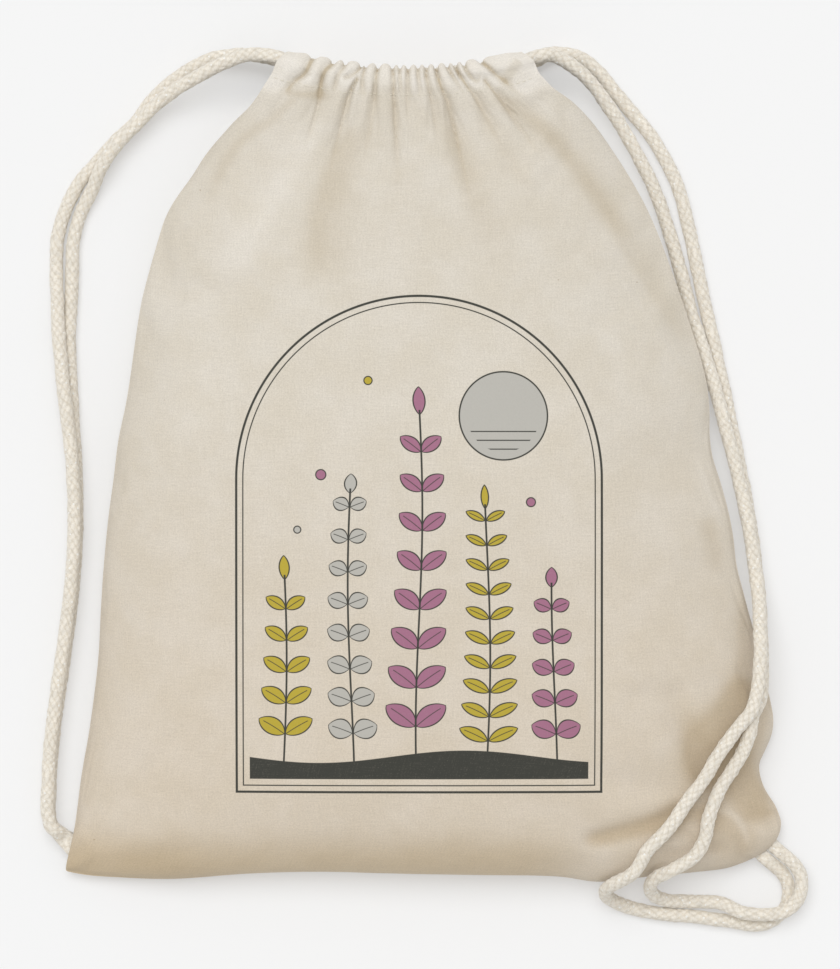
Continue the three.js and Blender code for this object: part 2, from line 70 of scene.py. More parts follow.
# The drawcords: round braided cotton.
cordLook = {
    "diameter": 7.0,
    "sides": 32,
    "ringStep": 0.7,
    "strands": 6,
    "stitch": 5.2,
    "braidDepth": 0.36,
    "braidWander": 0.05,
    "core": 0.62,  # of the braid's depth, under the cord's radius
    "unevenness": 0.35,
    "bumps": 0.1,
    "fuzz": 0.16,
    "evenEnd": 3.0,  # the braid is even where two pieces meet
    "lowest": 0.03,  # above the floor
    "bendLength": 50.0,  # of a free strand, as its drawcord slides
    "pathEvery": 12,  # rings from point to point of the route that is told
    "colour": (0.905, 0.848, 0.75),
    # painted shade: the colour in the braid's hollows, between its strands
    "hollowShadeColour": (0.81, 0.735, 0.615),
    "lintColour": (0.93, 0.91, 0.86),
}

# The bag's cloth. Lengths are in millimetres.
clothLook = {
    "thickness": 0.6,
    "edgeThin": 0.2,  # the share of it that is left at a sewn edge
    "columns": 240,
    "rows": 206,
    "weavePitch": 0.62,
    "drift": 1.6,  # of the threads from straight
    "lowest": 0.15,  # above the floor
    "colour": (0.712, 0.66, 0.577),
    "warmColour": (0.676, 0.617, 0.52),
    # painted shade: the cloth darker and warmer towards the bottom
    "lowShadeTint": (0.985, 0.938, 0.892),
    # painted shade along the bag's foot, where the cloth turns under
    "footShadeTint": (0.86, 0.80, 0.685),
    # painted shade in the fold valleys
    "foldShadeTint": (0.80, 0.745, 0.65),
    # painted highlight on the fold crests
    "crestHighlightTint": (1.145, 1.17, 1.225),
    "fleckColour": (0.30, 0.20, 0.10),
}


def unit(v):
    return v / np.maximum(np.linalg.norm(v, axis=-1, keepdims=True), 1e-9)


def blendStep(x, low, high):
    t = np.clip((np.asarray(x, float) - low) / (high - low), 0, 1)
    return t * t * (3 - 2 * t)


def between(a, b, share):
    return a + (b - a) * share


def curveThrough(points, perSpan=14):  # centripetal, as the cords' solids are laid
    p = np.array(points, float)
    p = np.vstack([2 * p[0] - p[1], p, 2 * p[-1] - p[-2]])
    t = np.linspace(0, 1, perSpan, endpoint=False)[:, None]
    spans = []
    for a, b, c, d in zip(p, p[1:], p[2:], p[3:]):
        t0, t1, t2 = [max(1e-4, np.linalg.norm(g)) ** 0.5 for g in (b - a, c - b, d - c)]
        m1 = t1 * ((b - a) / t0 - (c - a) / (t0 + t1) + (c - b) / t1)
        m2 = t1 * ((c - b) / t1 - (d - b) / (t1 + t2) + (d - c) / t2)
        first = (2 * t**3 - 3 * t**2 + 1) * b + (t**3 - 2 * t**2 + t) * m1
        spans.append(first + (3 * t**2 - 2 * t**3) * c + (t**3 - t**2) * m2)
    return np.vstack(spans + [p[-2:-1]])


def lengthsAlong(line):
    return np.concatenate([[0], np.cumsum(np.linalg.norm(np.diff(line, axis=0), axis=1))])


def pointsAt(line, run, places):  # the points at some lengths along a line
    return np.stack([np.interp(places, run, line[:, k]) for k in range(line.shape[1])], -1)


def atShares(line, shares):
    run = lengthsAlong(line)
    return pointsAt(line, run, np.asarray(shares) * run[-1])


def addUv(mesh, name, uv):
    layer = mesh.uv_layers.new(name=name)
    corners = np.zeros(len(mesh.loops), int)
    mesh.loops.foreach_get("vertex_index", corners)
    layer.data.foreach_set("uv", np.asarray(uv, np.float32)[corners].ravel())


def addMesh(name, verts, faces, uv=None, attributes=None):
    mesh = bpy.data.meshes.new(name)
    mesh.from_pydata(np.asarray(verts, float).tolist(), [], faces)
    mesh.update()
    if uv is not None:
        addUv(mesh, "cloth", uv)
    for key, values in (attributes or {}).items():
        mesh.attributes.new(key, "FLOAT", "POINT").data.foreach_set("value", np.asarray(values, np.float32))
    mesh.polygons.foreach_set("use_smooth", [True] * len(mesh.polygons))
    piece = bpy.data.objects.new(name, mesh)
    scene.collection.objects.link(piece)
    return piece


def gridFaces(rows, columns, wrapColumns=False):
    c = np.arange(columns if wrapColumns else columns - 1)
    after = (c + 1) % columns
    row = np.arange(rows - 1)[:, None] * columns
    below = row + columns
    return np.stack([row + c, below + c, below + after, row + after], -1).reshape(-1, 4).tolist()


def turnOutward(piece):
    shell = bmesh.new()
    shell.from_mesh(piece.data)
    bmesh.ops.recalc_face_normals(shell, faces=shell.faces)
    shell.to_mesh(piece.data)
    shell.free()


def putOn(piece, slot, body, *nodes):
    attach(piece, body)
    if nodes:
        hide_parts(*nodes)


def applyModifier(piece, kind, **settings):
    bpy.ops.object.select_all(action="DESELECT")
    bpy.context.view_layer.objects.active = piece
    piece.select_set(True)
    modifier = piece.modifiers.new(kind.lower(), kind)
    for key, value in settings.items():
        setattr(modifier, key, value)
    bpy.ops.object.modifier_apply(modifier=modifier.name)
    piece.select_set(False)


# Shader maths reads as arithmetic: a Wire wraps a node's output.
class Wire:
    def __init__(self, tree, socket):
        self.tree = tree
        self.socket = socket

    def node(self, kind, inputs=None, output=0, stops=None, interpolation="LINEAR", **settings):
        made = self.tree.nodes.new("ShaderNode" + kind)
        for key, value in settings.items():
            setattr(made, key, value)
        if stops:
            ramp = made.color_ramp
            ramp.interpolation = interpolation
            while len(ramp.elements) < len(stops):
                ramp.elements.new(0.5)
            for element, (place, colour) in zip(ramp.elements, stops):
                element.position = place
                element.color = (*colour, 1) if len(colour) == 3 else colour
        for key, value in (inputs or {}).items():
            if isinstance(value, Wire):
                self.tree.links.new(value.socket, made.inputs[key])
            else:
                made.inputs[key].default_value = value
        return Wire(self.tree, made.outputs[output])

    def maths(self, operation, first, second=0.0, third=0.0):
        return self.node("Math", {0: first, 1: second, 2: third}, operation=operation)

    def __add__(self, other):
        return self.maths("ADD", self, other)

    def __radd__(self, other):
        return self.maths("ADD", other, self)

    def __sub__(self, other):
        return self.maths("SUBTRACT", self, other)

    def __rsub__(self, other):
        return self.maths("SUBTRACT", other, self)

    def __mul__(self, other):
        return self.maths("MULTIPLY", self, other)

    def __rmul__(self, other):
        return self.maths("MULTIPLY", other, self)

    def __truediv__(self, other):
        return self.maths("DIVIDE", self, other)

    def __gt__(self, other):
        return self.maths("GREATER_THAN", self, other)

    def __lt__(self, other):
        return self.maths("LESS_THAN", self, other)

    def ramp(self, low, high, fromValue=0.0, toValue=1.0):
        values = {0: self, 1: low, 2: high, 3: fromValue, 4: toValue}
        return self.node("MapRange", values, interpolation_type="SMOOTHSTEP")

    def mixColour(self, first, second, blend="MIX"):
        ready = [c if isinstance(c, Wire) else (*c, 1) for c in (first, second)]
        values = {0: self, 6: ready[0], 7: ready[1]}
        return self.node("Mix", values, output=2, data_type="RGBA", blend_type=blend)

    def shaded(self, shade):
        values = {0: 1.0, 6: self, 7: self.node("CombineColor", {0: shade, 1: shade, 2: shade})}
        return self.node("Mix", values, output=2, data_type="RGBA", blend_type="MULTIPLY")

    def noise(self, scale, detail=2.0, roughness=0.5):
        values = {"Vector": self, "Scale": scale, "Detail": detail, "Roughness": roughness}
        return self.node("TexNoise", values)

    def stretched(self, *factors):
        return self.node("VectorMath", {0: self, 1: factors}, operation="MULTIPLY")


def newMaterial(name, **constants):
    material = bpy.data.materials.new(name)
    material.use_nodes = True
    shader = material.node_tree.nodes["Principled BSDF"]
    for key, value in constants.items():
        shader.inputs[key.replace("_", " ")].default_value = value
    return material, shader, Wire(material.node_tree, None)


def uvOf(base, layer):
    place = base.node("UVMap", uv_map=layer)
    parts = base.node("SeparateXYZ", {0: place})
    return place, parts, Wire(base.tree, parts.socket.node.outputs[1])


def attributeOf(base, name):
    return base.node("Attribute", output=2, attribute_name=name)


def dress(shader, colour, height, distance, strength):
    values = {"Height": height, "Distance": distance * mm, "Strength": strength}
    bump = colour.node("Bump", values)
    colour.tree.links.new(colour.socket, shader.inputs["Base Color"])
    colour.tree.links.new(bump.socket, shader.inputs["Normal"])


# Plain-woven natural cotton: threads, slubs, seed flecks and faint warm patches, with painted shade that is
# darker and warmer towards the bottom, along the foot and in the fold valleys, and a painted highlight on
# the crests. It gives the colour, a height for the bump and the threads' own pattern, through which ink
# wears.
def clothBase(base):
    place, x, y = uvOf(base, "cloth")
    turn = 2 * math.pi / (clothLook["weavePitch"] * mm)
    scaled = place.stretched(1000, 1000, 0)
    drift = (scaled.noise(0.12) - 0.5) * (clothLook["drift"] * mm)
    warp = base.maths("SINE", (x + drift) * turn)
    weft = base.maths("SINE", (y + drift) * turn)
    weave = base.maths("MAXIMUM", warp, weft * 0.9) + warp * weft * 0.35
    slubs = [scaled.stretched(*factors).noise(1.0, 3.0) for factors in ((0.09, 1.7, 1), (1.7, 0.09, 1))]
    threads = (slubs[0] + slubs[1]) * 0.5
    patches = scaled.noise(0.035, 5.0, 0.6)
    grain = scaled.noise(1.15, 3.0, 0.75)
    flecks = base.node("TexVoronoi", {"Vector": scaled, "Scale": 0.085, "Randomness": 1.0})
    fleck = (flecks < (scaled.noise(0.05) - 0.46) * 0.22) * (grain > 0.45)
    colour = patches.ramp(0.3, 0.72).mixColour(clothLook["warmColour"], clothLook["colour"])
    shade = threads.ramp(0.3, 0.7, 0.95, 1.04) * grain.ramp(0.25, 0.75, 0.90, 1.09)
    colour = colour.shaded(shade * weave.ramp(-0.4, 1.1, 0.92, 1.04))
    _, planX, planY = uvOf(base, "plan")
    # fold holds the painted fold shade: above 0 in valleys, below 0 for painted highlight on crests
    fold = attributeOf(base, "fold")
    # Painted shade and painted highlight, multiplied over the cloth's own colour.
    paintedLight = {
        # painted shade, darker and warmer towards the bottom
        "lowShadeTint": planY.ramp(0.08, -0.19),
        # painted shade along the foot, fading out towards the right corner
        "footShadeTint": planY.ramp(-0.178, -0.207) * planX.ramp(0.045, 0.095, 1.0, 0.0),
        # painted shade in the fold valleys
        "foldShadeTint": fold.ramp(0.0, 1.0),
        # painted highlight on the fold crests
        "crestHighlightTint": fold.ramp(0.0, -1.0),
    }
    for key, mask in paintedLight.items():
        colour = mask.mixColour(colour, clothLook[key], "MULTIPLY")
    colour = (fleck * 0.55).mixColour(colour, clothLook["fleckColour"])
    height = weave * 0.5 + threads + grain * 0.8
    return colour, height, (threads + grain) * 0.5


# The print on the front: a framed row of plants, drawn as masks over the cloth. Lengths are in
# millimetres from the middle of the printed place.
printLook = {
    "middle": (-1.8, -39.8), "halfWidth": 94.0, "archFrom": 34.0, "foot": -127.0,
    "coverage": 0.985, "worn": 0.14, "softEdge": 0.16,
    "frameLines": [(0.6, 0.7), (0.32, 4.1)],  # half width and distance inside the frame's edge
    "sunLine": 0.4, "fineLine": 0.3, "leafLine": 0.34, "groundInset": 7.4, "groundHeight": 19.0,
    "lineColour": (0.034, 0.036, 0.030), "mauve": (0.36, 0.150, 0.235), "mustard": (0.47, 0.365, 0.035),
    "stone": (0.47, 0.455, 0.415),
    "sun": ((43, 66), 22.5), "sunBars": (58, 53.5, 49),
    "dots": [
        ((-50, 36), 2.6, "mauve"), ((-26, 84), 2.1, "mustard"),
        ((-62, 8), 1.8, "stone"), ((57, 22), 2.3, "mauve"),
    ],
}
# One plant for each upright strip of the print, from left to right. rise is its leaves' angle.
sprigs = [
    {"height": 98, "leaf": 15.5, "wide": 4.4, "pitch": 16, "rise": 36, "colour": "mustard"},
    {"height": 142, "leaf": 12.5, "wide": 5.2, "pitch": 16.5, "rise": 24, "colour": "stone"},
    {"height": 182, "leaf": 18.0, "wide": 5.2, "pitch": 20, "rise": 42, "colour": "mauve"},
    {"height": 134, "leaf": 15.5, "wide": 3.3, "pitch": 12.5, "rise": 30, "colour": "mustard"},
    {"height": 94, "leaf": 13.0, "wide": 5.0, "pitch": 16, "rise": 26, "colour": "mauve"},
]


def printInk(base, cloth, threads):
    _, planX, planY = uvOf(base, "plan")
    x = planX * 1000.0 - printLook["middle"][0]
    y = planY * 1000.0 - printLook["middle"][1]
    colour = cloth
    whole = None

    def size(value):
        return base.maths("ABSOLUTE", value)

    def both(*values):  # shapes are signed distances, below 0 inside
        return reduce(lambda first, second: base.maths("MAXIMUM", first, second), values)

    def either(*values):
        return reduce(lambda first, second: base.maths("MINIMUM", first, second), values)

    def circle(centre, radius):
        across, upward = x - centre[0], y - centre[1]
        return base.maths("SQRT", across * across + upward * upward) - radius

    def outlined(distance, halfWidth, inset=0.0):
        return size(distance + inset) - halfWidth

    def stamp(distance, ink):
        nonlocal colour, whole
        mask = distance.ramp(-printLook["softEdge"], printLook["softEdge"], 1.0, 0.0)
        colour = mask.mixColour(colour, ink if isinstance(ink, Wire) else printLook[ink])
        whole = mask if whole is None else both(whole, mask)

    above = both(y - printLook["archFrom"], 0.0)
    archTop = base.maths("SQRT", x * x + above * above) - printLook["halfWidth"]
    arch = both(archTop, printLook["foot"] - y)
    sun = circle(*printLook["sun"])
    bars = either(*[outlined(y - level, printLook["fineLine"]) for level in printLook["sunBars"]])
    stamp(sun, "stone")
    frameLines = [outlined(arch, *line) for line in printLook["frameLines"]]
    stamp(either(outlined(sun, printLook["sunLine"]), both(bars, sun + 4.0), *frameLines), "lineColour")

    # Strips side by side share one drawing, and each takes its plant's numbers from a stepped ramp:
    # pairs of leaves up a swaying stem, smaller towards the top, with a bud above them.
    strip = (printLook["halfWidth"] * 2 - 15) / len(sprigs)
    fromLeft = (x + strip * len(sprigs) / 2) / strip
    number = base.maths("FLOOR", fromLeft)
    share = (number + 0.5) / len(sprigs)

    def stepped(*values):
        stops = [(k / len(sprigs), value) for k, value in enumerate(values)]
        return base.node("ValToRGB", {0: share}, stops=stops, interpolation="CONSTANT")

    def parted(wire):
        apart = base.node("SeparateColor", {0: wire})
        return [Wire(base.tree, apart.socket.node.outputs[k]) for k in range(3)]

    form = stepped(*[(g["height"] / 200, g["leaf"] / 30, g["wide"] / 10) for g in sprigs])
    rises = [math.radians(g["rise"]) for g in sprigs]
    growth = [(g["pitch"] / 30, math.cos(rise), math.sin(rise)) for g, rise in zip(sprigs, rises)]
    height, leafLength, leafWidth = [w * k for w, k in zip(parted(form), (200.0, 30.0, 10.0))]
    pitch, cosine, sine = parted(stepped(*growth))
    pitch = pitch * 30.0
    ink = stepped(*[printLook[g["colour"]] for g in sprigs])
    up = y - (printLook["foot"] + 14.0)
    sway = base.maths("SINE", up * 0.028 + number * 2.1) * 1.7
    aside = (fromLeft - number - 0.5) * strip - sway
    offStem = size(aside)
    step = base.maths("FLOOR", (up + 2.5) / pitch)
    inPitch = up - step * pitch
    along = offStem * cosine + inPitch * sine - 0.6
    across = inPitch * cosine - offStem * sine
    grown = 1.06 - (step * pitch / height) * 0.4
    t = along / (grown * leafLength)
    full = base.maths("POWER", both(t * (1.0 - t) * 4.0, 0.0), 0.75)
    curl = size(across + along * (along * 0.006) - 0.3)
    bearing = both(0.6 - step, (step * pitch + pitch * 0.45 - height) / pitch) * 30.0
    leaf = both(curl - full * grown * leafWidth, size(t - 0.5) * 20.0 - 10.0, bearing)
    vein = both(curl - 0.2, size(t - 0.42) * 20.0 - 8.4, bearing)
    tip = (up - (height - 2.5)) / (leafLength * 0.8)
    tipFull = base.maths("POWER", both(tip * (1.0 - tip) * 4.0, 0.0), 0.8)
    bud = both(offStem - tipFull * (leafWidth * 0.62), size(tip - 0.5) * 20.0 - 10.0)
    stem = both(offStem - 0.5, up - height, 0.0 - up)
    planted = (size(fromLeft - len(sprigs) / 2) - len(sprigs) / 2) * strip
    shape = both(either(leaf, bud), planted)
    stamp(shape, ink)
    line = both(either(outlined(shape, printLook["leafLine"], 0.15), vein, stem), planted)
    hill = base.maths("SINE", x * 0.042 + 0.6) * 3.2 + (printLook["foot"] + printLook["groundHeight"])
    stamp(either(line, both(y - hill, arch + printLook["groundInset"])), "lineColour")
    for centre, radius, dye in printLook["dots"]:
        dot = circle(centre, radius)
        stamp(dot, dye)
        stamp(outlined(dot, printLook["fineLine"]), "lineColour")
    inked = threads.ramp(0.28, 0.5, printLook["coverage"] - printLook["worn"], printLook["coverage"])
    return inked.mixColour(cloth, colour), whole


def clothMaterial(name, printed=False):
    material, shader, base = newMaterial(
        name, Roughness=0.92, Sheen_Weight=0.25, Sheen_Roughness=0.55, Specular_IOR_Level=0.25,
        Sheen_Tint=(1.0, 0.96, 0.88, 1),
    )
    colour, height, threads = clothBase(base)
    if printed:
        colour, ink = printInk(base, colour, threads)
        height = height * (1.0 - ink * 0.35)
    dress(shader, colour, height, 0.14, 0.7)
    return material


def braidMaterial(name):
    material, shader, base = newMaterial(
        name, Roughness=0.95, Sheen_Weight=0.5, Sheen_Roughness=0.5, Specular_IOR_Level=0.2,
        Sheen_Tint=(1.0, 0.98, 0.93, 1),
    )
    _, x, y = uvOf(base, "cloth")
    lean = x * 22.0 + attributeOf(base, "slant") * y * 2600.0
    fibrePlace = base.node("CombineXYZ", {0: lean * 1.6, 1: y * 420.0, 2: x * 6.0})
    fibres = fibrePlace.noise(1.0, 4.0, 0.65)
    angle = x * (2 * math.pi)
    ring = {0: base.maths("COSINE", angle) * 3.4, 1: base.maths("SINE", angle) * 3.4, 2: y * 1000.0}
    ringPlace = base.node("CombineXYZ", ring)
    mottle = ringPlace.noise(0.42, 3.0, 0.6)
    specks = ringPlace.noise(1.5, 2.0, 0.7)
    lint = base.node("TexVoronoi", {"Vector": ringPlace, "Scale": 0.28, "Randomness": 1.0})
    # Painted shade: the braid's hollows between the strands are mixed towards a darker colour.
    crease = attributeOf(base, "crease").ramp(0.15, 0.85)
    colour = crease.mixColour(cordLook["colour"], cordLook["hollowShadeColour"])
    shade = fibres.ramp(0.2, 0.8, 0.92, 1.04) * mottle.ramp(0.3, 0.7, 0.9, 1.04)
    colour = colour.shaded(shade * specks.ramp(0.3, 0.75, 0.93, 1.05))
    colour = (lint < 0.16).mixColour(colour, cordLook["lintColour"])
    dress(shader, colour, fibres + specks * 0.9 + mottle * 0.8, 0.3, 0.75)
    return material


cordMaterial = braidMaterial("braided cotton")
clothInside = clothMaterial("natural cotton")

# The camera looks straight down.
lens = bpy.data.cameras.new("camera")
lens.sensor_width = 36.0
lens.lens = 36.0 * studio["lensHeight"] / studio["viewHeight"]
lens.clip_end = 20
camera = bpy.data.objects.new("camera", lens)
camera.location = (*studio["viewCentre"], studio["lensHeight"])
scene.collection.objects.link(camera)
scene.camera = camera

light = bpy.data.lights.new("key", "SUN")
light.energy = studio["keyStrength"]
light.color = studio["keyColour"]
light.angle = math.radians(studio["keySpread"])
lamp = bpy.data.objects.new("key", light)
lamp.location = studio["keyPlace"]
lamp.rotation_euler = Vector(studio["keyPlace"]).to_track_quat("Z", "Y").to_euler()
scene.collection.objects.link(lamp)
world = bpy.data.worlds.new("studio")
world.use_nodes = True
world.node_tree.nodes["Background"].inputs[0].default_value = (*studio["skyColour"], 1)
world.node_tree.nodes["Background"].inputs[1].default_value = studio["skyLight"]
scene.world = world
scene.view_settings.view_transform = "Standard"

bpy.ops.mesh.primitive_plane_add(size=studio["floorSize"], location=(0, 0, 0))
floor = bpy.context.object
floor.name = "floor"
floorMaterial = newMaterial(
    "floor", Roughness=0.9, Specular_IOR_Level=0.1, Base_Color=(*[studio["floorTone"]] * 3, 1),
    Emission_Color=(1, 1, 1, 1), Emission_Strength=studio["floorGlow"],
)[0]
floor.data.materials.append(floorMaterial)
floor.select_set(False)
print("stage: camera, light and floor")

# The routes of the drawcords, in millimetres, as their solids have them: from the hem to the corner.
# seam, heading, width and share say where the flattened end is sewn in.
drawcords = {
    "left_cord_outer": {
        "hand": -1, "lane": "back",
        "points": [
            (-89.5, 213.7, 12), (-101.1, 213.5, 10), (-112, 211.1, 7), (-126.1, 203.3, 4),
            (-139.1, 192.4, 3.6), (-149.2, 178.9, 3.6), (-159.4, 169.3, 3.6), (-171, 156.3, 3.6),
            (-178.1, 148, 3.6), (-184.9, 135, 3.6), (-189.3, 120.4, 3.6), (-190.1, 103.7, 3.8),
            (-189.5, 87.1, 7), (-188.5, 67.3, 9.3), (-186.2, 42.9, 10.4), (-183.8, 22.6, 11),
            (-181.5, 1.3, 11.2), (-180.4, -29.4, 11.2), (-182.3, -62.1, 11.2), (-186.4, -94.9, 11.2),
            (-190.8, -126.1, 11.2), (-193.4, -152.1, 11.2), (-194, -167, 11.2), (-194.2, -178, 11.2),
        ],
        "seam": (-181.4, -196.5), "heading": (0.72, -0.69), "width": 9.5, "share": (0.54, 1),
    },
    "left_cord_inner": {
        "hand": -1, "lane": "front",
        "points": [
            (-89.5, 212.3, 32.5), (-99.6, 209.6, 28), (-111.5, 204.3, 22.5), (-126.4, 196.1, 17),
            (-137.3, 188.5, 12.8), (-147.9, 177.8, 11.4), (-157.8, 168.2, 11.4), (-166.4, 155.5, 11),
            (-171.3, 144.4, 6.2), (-177.1, 132.9, 3.7), (-181, 119.3, 3.6), (-182, 103.7, 3.6),
            (-182.5, 87.1, 3.6), (-183.6, 67.3, 3.6), (-182.5, 42.9, 3.6), (-181.5, 22.6, 3.6),
            (-180.2, 1.3, 3.6), (-179.7, -29.4, 3.6), (-181.5, -62.1, 3.6), (-185.6, -94.9, 3.6),
            (-190.1, -126.1, 3.6), (-192.9, -152.1, 3.6), (-193.6, -167, 3.6), (-194, -178, 3.6),
        ],
        "seam": (-181.4, -196.5), "heading": (0.72, -0.69), "width": 9.5, "share": (0, 0.46),
    },
    "right_cord_inner": {
        "hand": 1, "lane": "front",
        "points": [
            (66.3, 212.9, 25), (80.3, 205.1, 20), (90.2, 195.3, 15.5), (100.1, 181.2, 12), (110, 164.6, 9),
            (119.9, 145.3, 6), (126.6, 127.1, 4.2), (135.5, 96.5, 3.6), (139.1, 81.9, 4.6),
            (145.9, 60.1, 8.6), (151.1, 42.9, 9.9), (156.8, 21.6, 10.6), (163.5, -4.9, 11),
            (169.3, -32.5, 11.2), (172.9, -58.5, 13.2), (173.9, -70, 18.1), (173.9, -79.3, 23.7),
            (173.9, -89.7, 29.7), (173.9, -97.5, 32), (172.6, -111.5, 33.8), (169.3, -124.5, 36.8),
            (162, -133.9, 37.6), (153.1, -145.9, 38.3), (144.8, -159.4, 38.7), (136, -171.3, 40.6),
            (125.6, -185.9, 41.6), (115.6, -196.5, 40.2), (108.5, -208.2, 36.4), (98.7, -214.3, 29.6),
            (94.5, -218.9, 19.1), (97.2, -223.5, 10), (105.4, -227.7, 4.4), (120.4, -231.3, 3.9),
            (140.8, -233.1, 3.7), (157.6, -235.4, 3.7), (178.1, -236.8, 3.7), (188.5, -228.2, 3.7),
            (189.9, -216.8, 3.7),
        ],
        "seam": (174.6, -199.6), "heading": (-0.75, 0.66), "width": 7, "share": (0, 1),
    },
    "right_cord_outer": {
        "hand": 1, "lane": "back",
        "points": [
            (66.3, 214.8, 5), (80.3, 213.5, 4), (90.2, 206.7, 3.6), (100.1, 194.7, 3.6), (110, 182.8, 3.6),
            (119.9, 170.3, 3.6), (131.8, 147.9, 3.6), (139.6, 118.3, 3.6), (142.7, 103.2, 3.6),
            (147.4, 81.4, 3.6), (152.1, 61.1, 3.6), (156, 42.9, 3.6), (160.4, 21.6, 3.6),
            (165.8, -4.9, 3.6), (170.8, -32.5, 3.6), (173.9, -58.5, 5.6), (175, -70, 9.6), (175, -79.3, 15),
            (175, -89.7, 21.2), (175.2, -97.5, 23.7), (175, -113.1, 26), (173.9, -120, 27.4),
            (170.3, -127.6, 30.2), (168, -138.1, 31.8), (164.6, -146.9, 32), (160.4, -153.7, 32.7),
            (152.6, -166.1, 34.8), (146.9, -180.7, 36.1), (145.1, -190.6, 34.5), (139.7, -200.1, 33.9),
            (129.1, -206.6, 32.7), (119.9, -211.9, 26.2), (117.6, -217.2, 18.8), (120.5, -221.9, 11.3),
            (128.4, -224.8, 5.8), (141.9, -225.2, 5.1), (154.8, -225.8, 9.3), (166.7, -230.8, 10.9),
            (187.2, -230.1, 11.2), (195.3, -222, 11.2), (196.1, -212, 11.2),
        ],
        "seam": (180.6, -194.8), "heading": (-0.75, 0.66), "width": 7, "share": (0, 1),
    },
}

# The drawn mouth, as in the solids: the hems' arc, their channels and the cords' lanes in them.
mouth = {
    "centreX": -8.8, "cornerY": 214.0, "radius": 250.0, "width": 124.0, "gap": 6.0, "wall": 1.0,
    "play": 0.35, "pieceGap": 0.3,
}
cordRadius = cordLook["diameter"] / 2
laneOffset = cordRadius + 2 * mouth["pieceGap"]
laneLevel = cordRadius + mouth["pieceGap"]
hemHalfDepth = laneOffset + cordRadius + mouth["play"] + mouth["wall"]
hemHalfHeight = laneLevel + cordRadius + mouth["play"] + mouth["wall"]
backHemZ = hemHalfHeight
frontHemZ = 3 * hemHalfHeight + mouth["gap"]
bendRadius = (frontHemZ - backHemZ) / 2
hemHalfAngle = math.asin(mouth["width"] / 2 / mouth["radius"])
mouthDrop = mouth["radius"] * (1 - math.cos(hemHalfAngle))
mouthMiddleY = mouth["cornerY"] - mouthDrop - hemHalfDepth * math.cos(hemHalfAngle)
mouthCentre = np.array([mouth["centreX"], mouthMiddleY + mouth["radius"]])
laneTilt = math.atan(2 * laneOffset / mouth["width"])

# Where the cords' flattened ends lie in the seams.
sewnEnd = {"level": 7.2, "thickness": 3.8, "reach": 12.0, "tuck": 9.0, "gap": 0.15}


def onMouthArc(radius, angle):
    angle = np.asarray(angle, float)
    return np.stack([mouthCentre[0] + radius * np.sin(angle), mouthCentre[1] - radius * np.cos(angle)], -1)


def lanePoints(hand, angles, z):
    centre = (
        mouth["centreX"] - hand * mouth["radius"] * math.sin(laneTilt),
        mouthMiddleY + mouth["radius"] * math.cos(laneTilt),
    )
    angles = np.asarray(angles, float)
    x = centre[0] + mouth["radius"] * np.sin(angles)
    y = centre[1] - mouth["radius"] * np.cos(angles)
    return np.stack([x, y, np.full_like(x, z)], -1)


def laneHeight(hand, lane):
    return (frontHemZ if lane == "front" else backHemZ) - hand * laneLevel


def headingOf(cord):
    return unit(np.array([*cord["heading"], 0.0]))


def strandLine(cord):
    hand = cord["hand"]
    exitAngle = hand * hemHalfAngle + hand * laneTilt + hand * mouth["pieceGap"] / mouth["radius"]
    start = lanePoints(hand, exitAngle, laneHeight(hand, cord["lane"]))
    ahead = hand * np.array([math.cos(exitAngle), math.sin(exitAngle), 0])
    seam = np.array([*cord["seam"], cord["points"][-1][2]])
    end = seam - headingOf(cord) * sewnEnd["reach"]
    lead = end - headingOf(cord) * cordRadius
    return [start, start + ahead * cordLook["diameter"], *cord["points"], lead, end]


def evenLine(line, step):
    run = lengthsAlong(line)[-1]
    return atShares(line, np.linspace(0, 1, max(4, int(round(run / step)) + 1)))


def framesAlong(line):
    tangent = unit(np.gradient(line, axis=0))
    side = np.zeros_like(line)
    side[0] = unit(np.cross(tangent[0], skyward))
    for i in range(1, len(line)):
        side[i] = unit(side[i - 1] - tangent[i] * (side[i - 1] @ tangent[i]))
    return side, np.cross(side, tangent)


# A braid's height at an angle round the cord and a length along it: strands go over and under.
def braidHeight(around, along, drift):
    n, stitch = cordLook["strands"], cordLook["stitch"]
    wander = cordLook["braidWander"] * drift
    a = n * (around + wander) + along / stitch
    b = n * (around - wander) - along / stitch
    over = (np.floor(a) + np.floor(b)) % 2 < 1
    across = np.where(over, a % 1, b % 1)
    lengthwise = np.where(over, b % 1, a % 1)
    bulge = np.sin(math.pi * across) ** 0.75 * (0.6 + 0.4 * np.sin(math.pi * lengthwise) ** 0.8)
    return bulge, np.where(over, 1.0, -1.0)


def smoothRandom(rng, rows, columns, *coarse):  # a closed-round field of soft random values
    small = rng.standard_normal((max(4, rows // coarse[0]), max(4, columns // coarse[1])))
    i = np.linspace(0, small.shape[0] - 1.001, rows)
    j = np.linspace(0, small.shape[1], columns, endpoint=False)
    i0, j0 = i.astype(int), j.astype(int)
    fi, fj = blendStep(i - i0, 0, 1)[:, None], blendStep(j - j0, 0, 1)[None, :]
    j1 = (j0 + 1) % small.shape[1]
    top = between(small[i0][:, j0], small[i0][:, j1], fj)
    low = between(small[i0 + 1][:, j0], small[i0 + 1][:, j1], fj)
    return between(top, low, fi)


